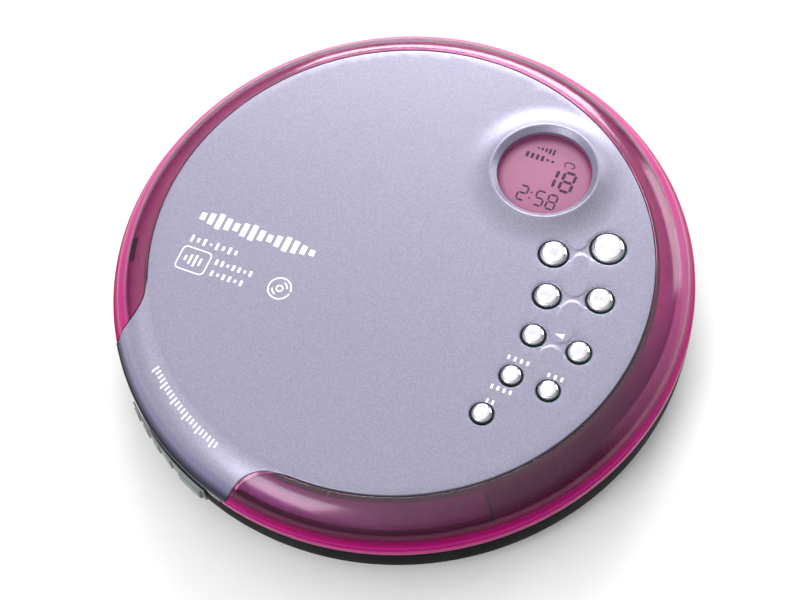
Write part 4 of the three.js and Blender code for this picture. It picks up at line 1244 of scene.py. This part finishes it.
def disc_tray():
    inner = 14
    rib = TRAY_TOP + 0.25
    profile = rounded([
        (inner, TRAY_BOTTOM), (64.2, TRAY_BOTTOM, 0.1), (64.2, 18.6, 0.3), (63.4, 19, 0.3), (62.4, 19, 0.4),
        (61.2, TRAY_TOP, 1.2), (59, TRAY_TOP), (58.8, rib, 0.1), (58, rib, 0.1), (57.8, TRAY_TOP),
        (26, TRAY_TOP), (25.8, rib, 0.1), (25, rib, 0.1), (24.8, TRAY_TOP), (17.4, TRAY_TOP, 0.3),
        (16.6, TRAY_TOP - 0.5), (inner, TRAY_TOP - 0.5)])
    piece = lathe("disc_tray_floor", profile, 240)
    slot_half = 7.5
    slot = [(slot_half, 0), (-slot_half, 0)] + [polar(slot_half, a, (0, -56)) for a in range(180, 361, 8)]
    holes = [circle(16.6, count=96), slot, circle(1.4, middle("lid_switch").xy, 24)]
    carve(piece, [slab("hole", outline, 14, 20, bevel=0) for outline in holes])
    finish(piece, "root", "charcoal_plastic", ["disc_tray"])


def turntable():
    rest = 18.7
    profile = rounded([
        (0, 15.3), (1, 15.3), (1, 17), (14.6, 17.4, 0.2), (15.2, 17.9, 0.2), (15, rest, 0.15), (12.8, rest),
        (12.6, rest - 0.12), (9.6, rest - 0.12), (9.4, rest), (8.4, rest, 0.1), (8.2, 18.4, 0.1),
        (7.3, 18.4), (7.2, 20, 0.4), (6.2, 20.9, 0.4), (2.4, 21.1, 0.2), (2.2, 20.6), (0, 20.6)])
    finish(lathe("turntable_hub", profile, 120), "turntable", "dark_plastic", ["turntable"])
    claw = rounded([(0, 19.2), (1, 19.2, 0.2), (0.9, 19.9, 0.3), (0.6, 20.2, 0.2), (0, 20.25)])
    for i, angle in enumerate((90, 210, 330)):
        finish(lathe(f"hub_claw_{i + 1}", claw, 24, polar(6.6, angle)), "turntable", "nylon")
    bottom, top = rest - 0.1, rest + 0.05
    mat = rounded([(9.8, bottom), (12.4, bottom), (12.4, top, 0.05), (9.8, top, 0.05)])
    finish(lathe("turntable_mat", mat, 96), "turntable", "rubber")


def lens():
    centre = middle("objective_lens").xy
    rim = rounded([(1.9, 16.7), (2.6, 16.7, 0.1), (2.6, 17.5, 0.15), (1.9, 17.7, 0.1)])
    finish(lathe("lens_holder", rim, 48, centre), "lens", "dark_plastic")
    turns = np.linspace(0, math.pi / 2, 10)[:-1]
    dome = [(1.85 * math.cos(t), 17.2 + 0.9 * math.sin(t)) for t in turns]
    ball = [(0, 16.9), (1.85, 16.9), *dome, (0, 18.1)]
    finish(lathe("lens_glass", ball, 48, centre), "lens", "lens_glass", ["objective_lens"])


def motor_can():
    profile = rounded([
        (0, 8.4), (3, 8.4), (3, 8.1), (4, 8.1, 0.2), (4, 8.4), (9.6, 8.4, 0.4), (10.5, 9.3, 0.5),
        (10.5, 14.2, 0.4), (9.8, 15, 0.1), (0, 15)])
    finish(lathe("spindle_motor_can", profile, 96), "root", "steel", ["spindle_motor"])


def coils():
    """The hinge spring, as fine wire in place of the plain coil."""
    turns, steps, half_length, radius = 5, 24, 3, 1.2
    wire = []
    for i in range(turns * steps + 1):
        share = i / (turns * steps)
        y, z = polar(radius, 360 * i / steps, (HINGE.y, HINGE.z))
        wire.append((half_length * (2 * share - 1), y, z))
    finish(tube("hinge_spring_wire", wire, [0.22] * len(wire)), "root", "steel", ["hinge_spring"])


# ---- Pieces kept from the frame, camera and light ----------------------------------------------------

def carried_over():
    """CAD nodes that stay get their slot's material and soft edges."""
    slots = {row["node"]: row["material_slot"] for row in frame["record"]["subparts"]}
    for node, piece in frame["nodes"].items():
        piece.data.materials.clear()
        piece.data.materials.append(LOOKS[slots[node]])
        if not piece.hide_render:
            shade(piece, 30)
            soften(piece, 0.12)


def camera():
    """The camera's place from its angles, distance and the point of the plate that it looks at."""
    azimuth, elevation, roll = (math.radians(a) for a in (30.5, 61.6, 7.91))
    distance, beside, above = 436.6, 1.18, 9.4
    aim = Matrix.Rotation(azimuth, 4, "Z") @ Matrix.Rotation(math.pi / 2 - elevation, 4, "X")
    place = Vector((0, 0, PLATE_EDGE)) + aim @ Vector((-beside, -above, distance))
    made = linked("camera", bpy.data.cameras.new("camera"))
    made.matrix_world = Matrix.Translation(place * MM) @ aim @ Matrix.Rotation(-roll, 4, "Z")
    made.data.lens = 85.5
    made.data.clip_start = 0.01
    made.data.clip_end = 20
    bpy.context.scene.camera = made


def softbox(name, place, target, size, power):
    light = bpy.data.lights.new(name, "AREA")
    light.shape = "RECTANGLE"
    light.size, light.size_y = size
    light.energy = power
    made = linked(name, light)
    made.location = place
    made.rotation_euler = (Vector(target) - Vector(place)).to_track_quat("-Z", "Y").to_euler()


def studio():
    """A pale floor, a sky that darkens low down and towards +X, and softboxes. Lengths are in metres."""
    half = 3.0
    mesh = bpy.data.meshes.new("floor")
    corners = [(-half, -half, 0), (half, -half, 0), (half, half, 0), (-half, half, 0)]
    mesh.from_pydata(corners, [], [(0, 1, 2, 3)])
    floor = linked("floor", mesh)
    paper = moulded("floor_paper", (0.9, 0.9, 0.9), 0.7, grain=0.4, relief=0.02, variation=0.01)
    floor.data.materials.append(paper)
    world = bpy.data.worlds.new("studio")
    bpy.context.scene.world = world
    world.use_nodes = True
    place = add_node(world, "ShaderNodeTexCoord", {}).outputs["Generated"]
    parts = add_node(world, "ShaderNodeSeparateXYZ", {"Vector": place})
    shades = ramp(world, parts.outputs["Z"], [(0.2, (0.12, 0.12, 0.13)), (0.6, 1)])
    beside = ramp(world, parts.outputs["X"], [(0, 1), (0.55, (0.5, 0.5, 0.52))])
    sky = blended(world, "MULTIPLY", shades, beside)
    supply(world.node_tree.nodes["Background"], {"Color": sky, "Strength": 1.2})
    softbox("back_light", (-0.3, 0.97, 0.5), (0, 0, 0), (0.8, 0.5), 15)
    softbox("side_light", (0.52, 0.82, 0.2), (0.03, 0, 0.02), (0.5, 0.34), 2.6)
    softbox("front_light", (-0.26, -0.66, 0.68), (-0.02, -0.03, 0.02), (0.42, 0.38), 3.0)
    bpy.context.scene.view_settings.view_transform = "Standard"


# ---- Assembly ----------------------------------------------------------------------------------------

BUILDERS = [
    camera, lid_plate, lid_ring, ring_lining, ring_insides, plate_gap_shade, lid_liner, display, display_marks,
    key_caps, marks_on_keys, bottom_case, bay_walls, cabinet_ring, joint_shade_lip, latch_housing, open_slider,
    hold_switch, battery_door, rubber_feet, case_screws, disc_tray, turntable, lens, motor_can, switch_domes,
    board_parts, jack_collar, coils, printed_marks, carried_over, studio,
]
for build in BUILDERS:
    build()
